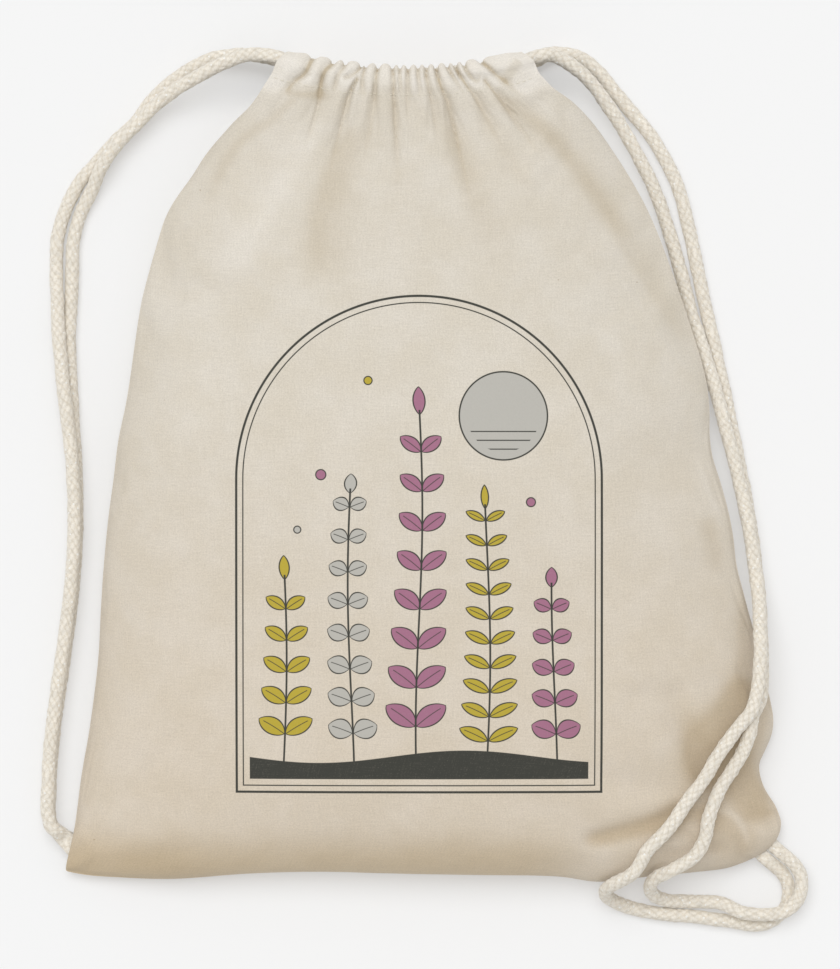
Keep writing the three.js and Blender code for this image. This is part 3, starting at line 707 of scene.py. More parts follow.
def cordPiece(name, line, startLength=0.0, flatten=None, phase=0.0):
    sides, rows = cordLook["sides"], len(line)
    side, up = framesAlong(line)
    run = lengthsAlong(line) + startLength
    around = np.arange(sides) / sides
    rng = np.random.default_rng(rows)
    fromEnds = np.minimum(run - run[0], run[-1] - run)
    uneven = blendStep(fromEnds, 0, cordLook["evenEnd"])[:, None]
    drift = smoothRandom(rng, rows, sides, 12, 8) * uneven
    flat = np.zeros((rows, sides))
    bulge, slant = braidHeight(around + phase + flat, run[:, None] + flat, drift)
    depth = 1 + cordLook["unevenness"] * smoothRandom(rng, rows, sides, 5, 4) * uneven
    radius = cordRadius + cordLook["braidDepth"] * (depth * bulge - cordLook["core"])
    bumps = cordLook["bumps"] * smoothRandom(rng, rows, sides, 9, 6)
    radius = radius + (bumps + cordLook["fuzz"] * (rng.random(radius.shape) - 0.5)) * uneven
    angle = 2 * math.pi * around
    if flatten is None:
        sideways = (radius * np.cos(angle))[..., None] * side[:, None, :]
        upright = (radius * np.sin(angle))[..., None] * up[:, None, :]
    else:
        sideways, upright = flatten(radius, angle)
    verts = line[:, None, :] + sideways + upright
    verts[..., 2] = np.maximum(verts[..., 2], cordLook["lowest"])
    faces = gridFaces(rows, sides, wrapColumns=True)
    for first, centre in ((0, rows * sides), ((rows - 1) * sides, rows * sides + 1)):
        faces.extend([centre, first + k, first + (k + 1) % sides] for k in range(sides))
    points = np.vstack([verts.reshape(-1, 3), line[[0, -1]]])
    uv = np.stack([np.tile(around + phase, rows), np.repeat(run * mm, sides)], -1)
    # crease, one less the strand's bulge, says where the braid's hollows get painted shade
    looks = {"crease": np.append(1 - bulge, [1, 1]), "slant": np.append(slant, [0, 0])}
    piece = addMesh(name, points * mm, faces, np.vstack([uv, np.zeros((2, 2))]), looks)
    turnOutward(piece)
    piece.data.set_sharp_from_angle(angle=smoothUnder)
    piece.data.materials.append(cordMaterial)
    return piece


# The sewn-in end goes from round to flat on its way into the seam.
def sewnEndLine(cord):
    ahead = headingOf(cord)
    lowShare, highShare = cord["share"]
    low = (2 * lowShare - 1) * sewnEnd["thickness"] / 2 + (sewnEnd["gap"] if lowShare > 0 else 0)
    high = (2 * highShare - 1) * sewnEnd["thickness"] / 2 - (sewnEnd["gap"] if highShare < 1 else 0)
    start = np.array([*cord["seam"], cord["points"][-1][2]]) - ahead * sewnEnd["reach"]
    total = sewnEnd["reach"] + sewnEnd["tuck"]
    along = np.linspace(0, total, int(total / cordLook["ringStep"]))[:, None]
    flat = blendStep(along, 0, 0.6 * sewnEnd["reach"])
    line = start + along * ahead
    line[:, 2:] = between(start[2], sewnEnd["level"] + (low + high) / 2, flat)
    halfWidth = between(cordRadius, cord["width"] / 2, flat)
    halfHeight = between(cordRadius, (high - low) / 2, flat)

    def flatten(radius, angle):
        share = radius / cordRadius
        rise = np.sign(np.sin(angle)) * np.abs(np.sin(angle)) ** (1 - 0.4 * flat)
        tall = between(share, 1 - 0.5 * flat * (1 - share), flat)
        aside = np.array([ahead[1], -ahead[0], 0])
        sideways = (halfWidth * share * np.cos(angle))[..., None] * aside
        return sideways, (halfHeight * tall * rise)[..., None] * skyward

    return line, flatten


for name, cord in drawcords.items():
    line = evenLine(curveThrough(strandLine(cord)), cordLook["ringStep"])
    strand = cordPiece(name + "_strand", line)
    length = lengthsAlong(line)[-1]
    endLine, flatten = sewnEndLine(cord)
    ahead = headingOf(cord)
    lastSide = framesAlong(line)[0][-1]
    turned = math.atan2(lastSide[2], lastSide @ np.array([ahead[1], -ahead[0], 0]))
    sewn = cordPiece(name + "_end", endLine, length, flatten, phase=-turned / (2 * math.pi))
    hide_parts(name)
    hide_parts(name + "_sewn_end")
    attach(sewn, "bag")
    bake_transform(strand)
    print(f"stage: {name}, {length:.0f} mm")


def runLine(hand):  # a drawcord inside the hem: in by the front channel, round the far side and back
    exitAngle = hand * (hemHalfAngle + laneTilt)
    turnRoom = (bendRadius + cordRadius + mouth["pieceGap"]) / mouth["radius"]
    bendAngle = hand * (laneTilt + turnRoom - hemHalfAngle)
    front, back = laneHeight(hand, "front"), laneHeight(hand, "back")
    lane = np.linspace(exitAngle, bendAngle, 60)
    turn = np.linspace(0, math.pi, 24)[1:-1]
    middle = lanePoints(hand, bendAngle, (front + back) / 2)
    ahead = np.array([math.cos(bendAngle), math.sin(bendAngle), 0])
    bend = middle - hand * bendRadius * np.sin(turn)[:, None] * ahead
    bend[:, 2] += (front - back) / 2 * np.cos(turn)
    return np.vstack([lanePoints(hand, lane, front), bend, lanePoints(hand, lane[::-1], back)])


for hand, side in ((-1, "left"), (1, "right")):
    run = cordPiece(side + "_drawcord_in_hem", evenLine(runLine(hand), 1.0))
    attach(run, side + "_drawcord")
    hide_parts(side + "_drawcord_run")
print("stage: drawcords in the hem")

# The outlines of the bag from above, read off the photograph, from the hem down to each bottom corner
# and along the bottom from left to right.
outline = {
    "left": [
        (-78.3, 197.8), (-88.9, 182.8), (-98, 175.5), (-110, 162.8), (-118.8, 149.5), (-127.7, 137.0),
        (-132.3, 128.2), (-135.5, 118.3), (-141.7, 96.5), (-144.8, 83.5), (-152.1, 35.1), (-156.4, 14.3),
        (-159.1, -7.5), (-161.5, -25), (-164.1, -51.2), (-165.6, -73.1), (-166.9, -97), (-168.7, -113.6),
        (-172.2, -138.6), (-174.5, -151.1), (-176.5, -163.5), (-178.1, -176), (-180.2, -190),
        (-184.6, -208.6),
    ],
    "right": [
        (60.7, 197.8), (67.8, 190.6), (78.3, 184.4), (87.9, 176), (100.1, 159.3), (113.4, 136.9),
        (120.5, 121.4), (126.6, 105.3), (134.9, 81.4), (145.6, 46), (147.5, 30), (147.6, 17), (149.2, 5),
        (153, -7), (156.9, -21), (159.9, -36), (161.5, -50), (165, -64), (169.3, -79.9), (173.9, -95.4),
        (177, -110.5), (179.7, -122.5), (181, -130.6), (180.2, -138), (176.5, -147), (173.6, -154),
        (176.2, -166), (183.2, -177.5), (185.2, -185.4), (183.2, -191.6), (177.6, -197.8), (170.6, -201.9),
    ],
    "bottom": [
        (-184.6, -208.6), (-174, -210.4), (-159.4, -211.4), (-129.7, -212.2), (-89.7, -209.3),
        (-54.3, -208.3), (-1, -209.5), (40, -210), (71.5, -210.9), (91.3, -213.6), (118, -210.9),
        (141.2, -208.8), (158.9, -206.5), (170.6, -201.9),
    ],
}
edgeEasing = 14  # a sewn edge has no corners as sharp as traced points
edges = {}
for name, points in outline.items():
    flat = evenLine(curveThrough([(x, y, 0.0) for x, y in points]), 0.5)
    for _ in range(edgeEasing):
        flat[1:-1] = flat[1:-1] * 0.5 + (flat[:-2] + flat[2:]) * 0.25
    edges[name] = flat

# The bag's body: widths and heights in millimetres, and how far its sheets stand apart at their edges.
# Places along it are shares of its length. A section is how flat it is in the middle and how full.
bag = {
    "shoulder": 7.5, "belly": 64.0, "cloth": 1.0, "seamAtMouth": 20.0, "seamAtMiddle": 16.0,
    "bottomSeam": 15.0, "seamGap": 0.08, "cordEndGap": 2.25, "cordEndReach": (7.5, 14.0),
    "seamTurn": 0.004,  # how far in the cloth turns to a seam, as a share of the width or length
    "sewnPlaces": [(-181.5, -197.0), (177.5, -196.5)],
    "mouthRise": 0.25, "fullFrom": 0.55, "frontFootFrom": 0.74, "backFootFrom": 0.92,
    "mouthSection": (6, 0.5), "bellySection": (2.5, 0.62), "bellySectionFrom": 0.3,
    "footSection": (2.4, 0.55), "backSection": (5, 0.6), "backAtMouth": 0.67, "backFlatFrom": 0.12,
    "backFullness": 1.08,
}
panelArcRadius = mouth["radius"] + hemHalfDepth + mouth["pieceGap"]
shoulderAngle = math.asin((mouth["width"] / 2 + bag["shoulder"]) / panelArcRadius)


def planOf(u, v):  # the place in plan inside the four edges
    left = atShares(edges["left"], v)[..., :2]
    right = atShares(edges["right"], v)[..., :2]
    bottom = atShares(edges["bottom"], u)[..., :2]
    top = onMouthArc(panelArcRadius, between(-shoulderAngle, shoulderAngle, u))
    corners = [edges["left"][0, :2], edges["right"][0, :2], edges["left"][-1, :2], edges["right"][-1, :2]]
    u, v = u[..., None], v[..., None]
    ruled = between(left, right, u) + between(top, bottom, v)
    return ruled - between(between(corners[0], corners[1], u), between(corners[2], corners[3], u), v)


def seamZ(u, v):
    upper = between(bag["seamAtMouth"], bag["seamAtMiddle"], blendStep(v, 0, 0.5))
    side = between(upper, sewnEnd["level"], blendStep(v, 0.5, 0.97))
    return side + (bag["bottomSeam"] - sewnEnd["level"]) * (1 - (2 * u - 1) ** 2) * blendStep(v, 0.8, 1)


def nearSewnEnds(plan):  # 1 where the cords' ends part the two sheets
    distance = np.linalg.norm(plan[..., None, :] - np.array(bag["sewnPlaces"]), axis=-1).min(axis=-1)
    return 1 - blendStep(distance, *bag["cordEndReach"])


def seamOpening(plan):
    return between(bag["seamGap"], bag["cordEndGap"], nearSewnEnds(plan))


def crown(position, section):
    return (1 - np.minimum(1, np.abs(position)) ** section[0]) ** section[1]


def lastPart(v, start):
    return np.maximum(0, (v - start) / (1 - start))


def frontBase(u, v):
    plan = planOf(u, v)
    atMouth = frontHemZ + bag["mouthRise"] * hemHalfHeight - bag["seamAtMouth"]
    atBelly = bag["belly"] - bag["cloth"] - bag["seamAtMiddle"]
    along = between(atMouth, atBelly, blendStep(v, 0, bag["fullFrom"]))
    along = along * crown(lastPart(v, bag["frontFootFrom"]), bag["footSection"])
    fade = blendStep(v, 0, bag["bellySectionFrom"])
    section = [between(*pair, fade) for pair in zip(bag["mouthSection"], bag["bellySection"])]
    return np.dstack([plan, seamZ(u, v) + seamOpening(plan) + along * crown(2 * u - 1, section)])


def backBase(u, v):
    plan = planOf(u, v)
    edge = seamZ(u, v) - seamOpening(plan)
    along = between(bag["backAtMouth"], 1, blendStep(v, 0, bag["backFlatFrom"]))
    along = along * crown(lastPart(v, bag["backFootFrom"]), bag["footSection"])
    depth = np.minimum(1, bag["backFullness"] * along * crown(2 * u - 1, bag["backSection"]))
    return np.dstack([plan, between(edge, bag["cloth"], depth)])


def normalsOf(grid):
    across = np.gradient(grid, axis=1)
    down = np.gradient(grid, axis=0)
    return unit(np.cross(down, across))


# Folds as they lie in the photograph: points in its pixels, depth and half width in millimetres at the
# start and the end, and whether the valley is creased (1) or soft (0).
folding = {
    "pixel": 0.52, "pixelCentre": (422.5, 467.5), "routeStep": 1.5, "creaseWidth": 1.3, "creaseDepth": 0.9,
    "deepest": 5.5, "valleyRows": 7, "valleyPasses": 10,
    # Painted fold shade: the depth that paints the full shade, the crease lines' painted shade, and the
    # hem's painted shade in valleys and painted highlight on crests.
    "shadeDepth": (28, 6),  # the depth that darkens the cloth fully, in the upper part and at the foot
    "creaseShade": 0.36, "hemShade": 0.8, "hemHighlight": 1.1,
}
folds = [
    ([(321, 48), (313, 66), (306, 79), (297, 86), (287, 97), (272, 118)], 4.8, 1.2, 2.6, 6.0, 1),
    ([(297, 86), (306, 82), (317, 77)], 2.8, 1.6, 2.4, 2.0, 1),
    ([(340, 50), (334, 68), (326, 77), (322, 90), (320, 108), (314, 130), (304, 160)],
     4.6, 1.8, 2.4, 6.5, 1),
    ([(349, 54), (345, 72), (339, 81), (336, 92), (331, 108)], 3.6, 1.4, 2.0, 3.0, 1),
    ([(366, 54), (361, 73), (354, 80), (346, 83), (343, 80), (348, 75)], 4.2, 1.8, 2.2, 2.0, 1),
    ([(358, 84), (352, 96), (346, 116), (338, 145), (330, 180)], 3.6, 1.4, 2.0, 6.5, 1),
    ([(372, 56), (365, 75), (363, 88), (364, 100), (364, 116)], 3.8, 1.4, 2.2, 3.0, 1),
    ([(383, 56), (378, 74), (376, 90), (375, 108), (370, 136), (364, 170)], 3.6, 1.4, 2.0, 6.0, 1),
    ([(391, 56), (393, 74), (394, 86), (394, 100), (395, 118), (397, 150), (399, 190)],
     3.3, 0.9, 1.9, 5.0, 1),
    ([(401, 58), (400, 76), (401, 92), (403, 106)], 3.2, 1.2, 1.8, 2.6, 1),
    ([(411, 58), (408, 76), (408, 92), (408, 110), (408, 140)], 3.6, 1.2, 2.0, 5.0, 1),
    ([(419, 58), (418, 80), (420, 95), (422, 108)], 3.4, 1.3, 1.8, 2.6, 1),
    ([(428, 58), (426, 76), (428, 90), (431, 104), (434, 122), (438, 150)], 3.6, 1.3, 2.0, 5.0, 1),
    ([(436, 58), (436, 74), (440, 90), (446, 104), (452, 124), (460, 160), (472, 215)],
     4.0, 1.4, 2.0, 9.0, 1),
    ([(444, 56), (448, 74), (454, 84), (461, 95), (468, 106)], 3.8, 1.4, 1.9, 2.8, 1),
    ([(452, 54), (456, 74), (464, 88), (474, 102), (484, 120), (500, 150)], 4.2, 1.5, 2.0, 5.5, 1),
    ([(460, 52), (465, 74), (472, 84), (477, 87), (479, 80), (477, 72)], 4.0, 1.8, 2.0, 2.0, 1),
    ([(484, 86), (492, 96), (504, 112), (520, 134), (546, 170)], 3.2, 1.4, 2.0, 6.5, 1),
    ([(472, 52), (479, 65), (488, 73), (495, 80), (504, 87), (514, 97), (530, 112)], 4.6, 0.7, 2.2, 5.0, 1),
    ([(590, 835), (620, 827), (650, 820), (676, 809), (702, 797)], 2.6, 3.6, 6.0, 9.0, 0),
    ([(676, 690), (684, 724), (700, 756), (716, 784), (726, 804)], 2.8, 4.0, 9.0, 10.0, 0),
    ([(776, 811), (762, 812), (748, 815), (735, 822)], 1.2, 0.8, 3.0, 6.0, 1),
    ([(668, 850), (690, 848), (712, 846), (730, 852)], 1.6, 2.2, 5.0, 6.0, 0),
    ([(726, 760), (744, 782), (757, 800)], 1.4, 0.8, 8.0, 6.0, 0),
    ([(92, 840), (180, 848), (330, 842), (470, 846), (600, 850)], 0.7, 0.7, 9.0, 9.0, 0),
]


# Broad soft folds and the light crests beside them: points in the photograph's pixels, depth and half width
# in millimetres at the start and the end, how much painted shade the cloth gets there (painted highlight
# below 0; near the cords at the lower right it paints their shadows too), and how crisp the left side is
# (the right side below 0).
softFolds = [
    ([(358, 120), (349, 146), (330, 184), (320, 222), (322, 264), (336, 304)], 0.8, 9, 26, 0.5, 0.5),
    ([(316, 84), (276, 122), (240, 148), (216, 190), (202, 232)], 1.0, 3.5, 5, 0.4, 0),
    ([(392, 88), (396, 140), (398, 196), (399, 225)], 0.4, 2.4, 3.5, 0.2, 0),
    ([(434, 90), (446, 130), (463, 172), (477, 215), (490, 250), (508, 294)], 0.9, 5, 17, 0.36, 0.25),
    ([(468, 94), (486, 124), (500, 150), (516, 176), (540, 206)], 0.7, 4, 9, 0.3, 0),
    ([(482, 88), (512, 112), (544, 136), (572, 168), (594, 198), (622, 238), (652, 280)],
     1.1, 6, 9, 0.55, 0.2),
    ([(520, 64), (513, 73), (504, 86), (500, 94)], 0.4, 3.4, 3.4, 1.1, 0),
    ([(284, 96), (306, 98), (338, 98)], 0.3, 3.5, 4, 0.72, 0),
    ([(588, 196), (614, 236), (656, 300), (684, 344), (708, 376)], 0.6, 15, 12, 0.34, 0.7),
    ([(700, 512), (710, 540), (716, 585)], 0.4, 6, 6, 0.42, 0),
    ([(740, 590), (739, 640), (738, 690)], 0.3, 4, 4, 0.36, 0),
    ([(750, 668), (724, 706), (704, 736), (696, 772), (694, 800)], 0.3, 11, 18, 1.05, 0.3),
    ([(578, 838), (612, 831), (650, 821), (684, 809), (710, 796)], 0.6, 4.5, 9, 0.48, 0),
    ([(768, 690), (760, 724), (752, 758)], 0.3, 4, 4.5, 0.45, 0),
    ([(728, 700), (732, 740), (738, 776), (752, 800), (788, 820)], 0.3, 12, 12, 1.15, 0),
    ([(694, 796), (722, 824), (764, 852)], 0.2, 11, 12, 0.72, 0),
    ([(664, 822), (690, 832), (718, 838)], 0.4, 5, 5, 0.4, 0),
    ([(152, 310), (136, 390), (130, 470), (120, 540), (112, 620), (102, 700), (94, 790)],
     0.5, 7, 6, 0.18, 0),
    ([(64, 820), (84, 862), (140, 872), (250, 876)], 0.0, 22, 16, 0.34, 0),
    ([(130, 766), (180, 776), (236, 782)], 0.3, 16, 18, 0.14, 0),
    ([(322, 100), (312, 146), (290, 184), (262, 225), (244, 262), (236, 306)], -0.5, 8, 20, -0.5, -0.45),
    ([(290, 56), (283, 76), (266, 102)], -0.3, 4, 4, -0.3, 0),
    ([(506, 84), (540, 110), (568, 136)], -0.4, 3, 3, -0.35, 0),
    ([(584, 234), (612, 272), (640, 311), (670, 353), (704, 388)], -0.5, 2.4, 2.4, -0.2, -0.4),
    ([(690, 448), (700, 474), (712, 505), (726, 530)], -0.4, 2.8, 2.5, -0.35, 0),
    ([(706, 804), (728, 811), (741, 826), (748, 850)], -0.6, 2.0, 2.0, -0.3, 0),
    ([(598, 320), (616, 370), (624, 420)], -0.3, 9, 9, -0.25, 0),
    ([(212, 296), (202, 380), (190, 470)], -0.4, 16, 16, -0.25, 0),
]


def besideRoute(route, points, reach):  # the points near a route: how far off, how far along, which side
    line = (np.array(route) - folding["pixelCentre"]) * folding["pixel"] * (1, -1)
    line = curveThrough(np.column_stack([line, np.zeros(len(line))]))
    line = evenLine(line, folding["routeStep"])[:, :2]
    near = np.all((points > line.min(0) - reach) & (points < line.max(0) + reach), axis=-1)
    here = points[near]
    distance, at, side = np.full(len(here), 1e9), np.zeros(len(here)), np.zeros(len(here))
    for i in range(len(line) - 1):
        a, run = line[i], line[i + 1] - line[i]
        t = np.clip(((here - a) @ run) / (run @ run), 0, 1)
        off = here - a - t[:, None] * run
        gap = np.linalg.norm(off, axis=1)
        closer = gap < distance
        distance[closer] = gap[closer]
        at[closer] = (i + t[closer]) / (len(line) - 1)
        side[closer] = (run[0] * off[:, 1] - run[1] * off[:, 0])[closer]
    return near, distance, at, side


# softShape's second value is the soft folds' painted shade, with painted highlight below 0.
def softShape(points):  # the depth of the soft folds, and how dark they look
    depth, dark, light = (np.zeros(points.shape[:-1]) for _ in range(3))
    for route, deep, narrow, wide, tone, crisp in softFolds:
        near, distance, at, side = besideRoute(route, points, 2.5 * max(narrow, wide))
        width = between(narrow, wide, at) * (1 - np.where(side < 0, max(crisp, 0), max(-crisp, 0)))
        bell = np.exp(-((distance / width) ** 2)) * blendStep(at, 0, 0.15) * blendStep(1 - at, 0, 0.3)
        depth[near] += deep * bell
        dark[near] = np.maximum(dark[near], tone * bell)
        light[near] = np.maximum(light[near], -tone * bell)
    return depth, dark - light


def foldDepth(points, sharp=False):  # sharp gives the narrow creases in the folds, from 0 to 1
    depth = np.zeros(points.shape[:-1])
    for route, deep, shallow, narrow, wide, creased in folds:
        near, distance, at, _ = besideRoute(route, points, 3 * max(wide, narrow))
        width = between(narrow, wide, at**1.8)
        size = between(deep, shallow, at) * blendStep(1 - at, -0.02, 0.3)
        if sharp:
            line = np.maximum(0, 1 - distance / folding["creaseWidth"]) * creased * (1 - at) ** 0.6
            depth[near] = np.maximum(depth[near], line * min(1, deep / 4))
            continue
        soft = np.exp(-((distance / (0.8 * width)) ** 2))
        crease = np.maximum(0, 1 - distance / (1.5 * width)) ** 1.6
        depth[near] = np.maximum(depth[near], size * between(soft, crease, creased * (1 - 0.6 * at)))
    return depth


# Slow unevenness of a soft bag, in millimetres: height, two lengths and a place in the noise each.
wrinkles = [(1.1, 95, 70, 10.0), (0.45, 38, 46, 13.0), (0.16, 15, 17, 16.0)]


def wrinkleNoise(grid):
    values = [
        sum(height * noise.noise((x / wide, y / long, at)) for height, wide, long, at in wrinkles)
        for x, y, _ in grid.reshape(-1, 3)
    ]
    return np.array(values).reshape(grid.shape[:2])


def columnShares(count, v):
    even = np.linspace(0, 1, count)[None, :]
    closer = 0.5 - 0.5 * np.cos(math.pi * even)
    return between(even, closer, 0.85 * blendStep(v, 0, 0.3))


def rowPlaces(count):  # rows lie closer under the hem and at the bottom
    foot = 0.88
    v = np.interp(np.linspace(0, 1, count), [0, 0.34, 0.84, 1], [0, 0.17, foot, 1])
    return np.where(v > foot, foot + (1 - foot) * np.sin((v - foot) / (1 - foot) * math.pi / 2), v)


# A hem is the panel's own cloth, turned over the drawcords and sewn down: its rows run from the stitch
# line over the top, round the mouth side and back under the cords to the stitch line.
hemLook = {
    "rows": 74, "squareness": 2.2, "ridge": 1.9, "clear": 0.35, "inset": 0.1,
    "stitchTurn": 60.0, "turned": 352.0,  # degrees: where the cloth starts, and how far it goes round
}
# Below the hem: the cloth's lift, its swell, and how far they and the hem's folds reach down the panel.
belowHem = {"lift": 0.9, "swell": 2.6, "swellFrom": 0.02, "swellTo": 0.16, "blend": 0.12, "edgeBand": 0.035}


def clearOfCords(grid, middleZ):  # the cloth of a hem is moved out where it would cut into its cords
    out = grid[..., :2] - mouthCentre
    far = np.linalg.norm(out, axis=-1)
    ray = out / far[..., None]
    lean = np.arcsin(np.clip(ray[..., 0], -1, 1)) / hemHalfAngle * laneOffset
    across, upward = far - mouth["radius"], grid[..., 2] - middleZ
    for sign in (1, -1):
        gapD, gapH = across - sign * lean, upward - sign * laneLevel
        distance = np.hypot(gapD, gapH)
        reach = cordRadius + clothLook["thickness"] + hemLook["clear"]
        push = np.maximum(0, reach - distance) / np.maximum(distance, 0.1)
        across, upward = across + gapD * push, upward + gapH * push
    plan = mouthCentre + ray * (mouth["radius"] + across)[..., None]
    return np.dstack([plan, np.maximum(middleZ + upward, clothLook["lowest"])])


def mirrored(plan, facing):  # the back's folds are the front's, seen through the bag
    return plan if facing > 0 else plan * (-1, 1) + (2 * mouth["centreX"], 0)


def hemGrid(middleZ, facing):
    first = math.radians(hemLook["stitchTurn"])
    turn = np.linspace(first, first + math.radians(hemLook["turned"]), hemLook["rows"])[:, None]
    half = between(hemHalfAngle, shoulderAngle, blendStep(np.cos(turn - first), -0.2, 1))
    angles = (2 * columnShares(clothLook["columns"], np.zeros((1, 1))) - 1) * half
    power = 2 / hemLook["squareness"]
    depth = np.sign(np.cos(turn)) * np.abs(np.cos(turn)) ** power
    height = np.sign(np.sin(turn)) * np.abs(np.sin(turn)) ** power
    fromEnd = (half - np.abs(angles)) * mouth["radius"]
    ray = np.stack([np.sin(angles), -np.cos(angles)], -1)
    across = (hemHalfDepth - hemLook["inset"]) * depth + 0 * angles
    upward = (hemHalfHeight - hemLook["inset"]) * height + 0 * angles
    plan = mirrored(mouthCentre + ray * (mouth["radius"] + across)[..., None], facing)
    deep = foldDepth(plan) * (1 - 0.65 * blendStep(-height, -0.1, 0.7))
    ridge = hemLook["ridge"] * blendStep(fromEnd, 0, 9) * blendStep(height, -0.6, 0.5)
    lift = ridge - np.minimum(deep, folding["deepest"])
    size = np.hypot(across, upward)
    across = across * (1 + (lift * 0.75) / size)
    upward = upward * (1 + lift / size)
    base = mouthCentre + ray * (mouth["radius"] + across)[..., None]
    return clearOfCords(np.dstack([base, middleZ + facing * upward]), middleZ)


def sheetGrid(facing):  # the hem's rows, then the panel's; they share the stitch line
    hem = hemGrid(frontHemZ if facing > 0 else backHemZ, facing)
    v = rowPlaces(clothLook["rows"])[:, None] + np.zeros((1, clothLook["columns"]))
    u = columnShares(clothLook["columns"], v)
    base = (frontBase if facing > 0 else backBase)(u, v)
    normal = normalsOf(base) * facing
    normal[0, :, 1] = np.minimum(normal[0, :, 1], 0)
    toEdge = np.minimum.reduce([u, 1 - u, 1 - v])
    edge = toEdge / belowHem["edgeBand"]
    inner = blendStep(edge, 0, 1) * blendStep(v, 0, 0.05)
    plan = mirrored(base[..., :2], facing)
    deep = foldDepth(plan) * blendStep(edge, -0.4, 0.8) * (1.25 - 0.25 * blendStep(v, 0.01, 0.14))
    deep = deep + softShape(plan)[0] * blendStep(edge, 0, 1.2) * blendStep(v, 0, 0.06)
    swell = belowHem["swell"] * (1 - blendStep(v, belowHem["swellFrom"], belowHem["swellTo"]))
    lift = belowHem["lift"] + swell * blendStep(edge, 0, 1.5) - deep
    if facing > 0:
        lift = lift + (wrinkleNoise(base) - 0.4) * inner
    panel = base + normal * lift[..., None]
    smoothHem = hem[0].copy()
    dip = np.minimum(foldDepth(smoothHem[None, :, :2])[0], folding["deepest"])
    smoothHem[:, 2] += facing * dip * 0.72
    smoothPanel = panel[0] + normal[0] * deep[0][:, None]
    step = (smoothHem - smoothPanel)[None] * (1 - blendStep(v, 0, belowHem["blend"]))[..., None]
    gap = (hem[0] - panel[0] - step[0])[None] * (1 - blendStep(v, 0, belowHem["blend"] / 10))[..., None]
    panel = panel + step + gap
    atSeam = 1 - blendStep(toEdge, 0, bag["seamTurn"])
    atSeam = atSeam * (1 - nearSewnEnds(base[..., :2])) * blendStep(v, 0.04, 0.1)
    panel[..., 2] = between(panel[..., 2], seamZ(u, v) + facing * bag["seamGap"], atSeam)
    if facing < 0:
        panel[..., 2] = np.maximum(panel[..., 2], clothLook["lowest"])
    return hem[::-1], panel


def laidFlat(grid):  # lengths along each row, and down the sheet as most columns have them
    steps = np.linalg.norm(np.diff(grid, axis=1), axis=-1)
    across = np.concatenate([np.zeros((len(grid), 1)), np.cumsum(steps, axis=1)], axis=1)
    down = np.median(np.linalg.norm(np.diff(grid, axis=0), axis=-1), axis=1)
    return across, np.concatenate([[0], np.cumsum(down)])[:, None] + 0 * across


def clothUv(grid):
    across, down = laidFlat(grid)
    return np.dstack([across - across[:, [grid.shape[1] // 2]], -down]) * mm


# The painted shade of the cloth's folds, from -1 for a painted highlight on a crest to 1 for the darkest
# painted valley: by their depth, which counts less in the upper part than at the foot, and with more
# contrast in the hem.
def foldShade(plan):
    dip = foldDepth(plan)
    upward = plan[..., 1]
    shade = dip / between(*folding["shadeDepth"], blendStep(-upward, 60, 150))
    shade = shade + folding["creaseShade"] * foldDepth(plan, sharp=True)
    low = np.clip((dip - 0.7) / 2.5, 0, 1)
    # the hem's painted shade in its valleys and painted highlight on its crests
    contrast = folding["hemShade"] * low**2 - folding["hemHighlight"] * (1 - low)
    return shade + softShape(plan)[1] + contrast * blendStep(upward, 188, 201)


def clothObject(name, grid, uv, node, facing, material):
    rows, columns = grid.shape[:2]
    faces = gridFaces(rows, columns) if facing > 0 else [face[::-1] for face in gridFaces(rows, columns)]
    points = grid.reshape(-1, 3)
    # The painted fold shade and crest highlight, on the front only.
    shade = foldShade(grid[..., :2]).ravel() * (facing > 0)
    piece = addMesh(name, points * mm, faces, uv.reshape(-1, 2), {"fold": shade})
    addUv(piece.data, "plan", points[:, :2] * mm)
    piece.data.materials.append(material)
    thick = piece.vertex_groups.new(name="thick")
    inner = np.ones((rows, columns), bool)
    inner[:, [0, 1, -2, -1]] = False
    if node.endswith("panel"):
        inner[-3:] = False
    thick.add(np.flatnonzero(inner).tolist(), 1.0, "REPLACE")
    applyModifier(
        piece, "SOLIDIFY", thickness=clothLook["thickness"] * mm, offset=-1.0, vertex_group="thick",
        thickness_vertex_group=clothLook["edgeThin"],
    )
    piece.data.set_sharp_from_angle(angle=smoothUnder)
    putOn(piece, "cotton_cloth", "bag", node)
    return piece


# The cut cloth is much wider than the drawn mouth. A cloth simulation lets that fullness fold, with the
# seams and stitch lines held where they are and the bag lightly filled.
gather = {
    "cut": (0.372, 0.475),  # metres, with its seam allowances and the hem
    "cutWidth": 352.0, "fullness": 0.78, "hemFullness": 0.6, "slack": 0.012, "columns": 216, "hemRows": 32,
    "panelRows": 128, "frames": 28, "quality": 6, "tension": 22.0, "shear": 5.0, "bending": 0.05,
    "pressure": 1.6, "mass": 0.0012, "farthest": 8.0, "damping": 5.0, "bendDamping": 0.5, "airDamping": 2.0,
    "heldDip": 1.2,  # a fold this deep is held at the stitch line
}


def resample(grid, rows, columns):
    def along(values, count):
        t = np.linspace(0, len(values) - 1, count)
        i = np.clip(t.astype(int), 0, len(values) - 2)
        f = (t - i).reshape([-1] + [1] * (values.ndim - 1))
        before = values[np.maximum(i - 1, 0)]
        after = values[np.minimum(i + 2, len(values) - 1)]
        one, two = values[i], values[i + 1]
        cubed = 3 * (one - two) + after - before
        squared = 2 * before - 5 * one + 4 * two - after
        return one + 0.5 * f * (two - before + f * (squared + f * cubed))

    return along(along(grid, rows).transpose(1, 0, 2), columns).transpose(1, 0, 2)


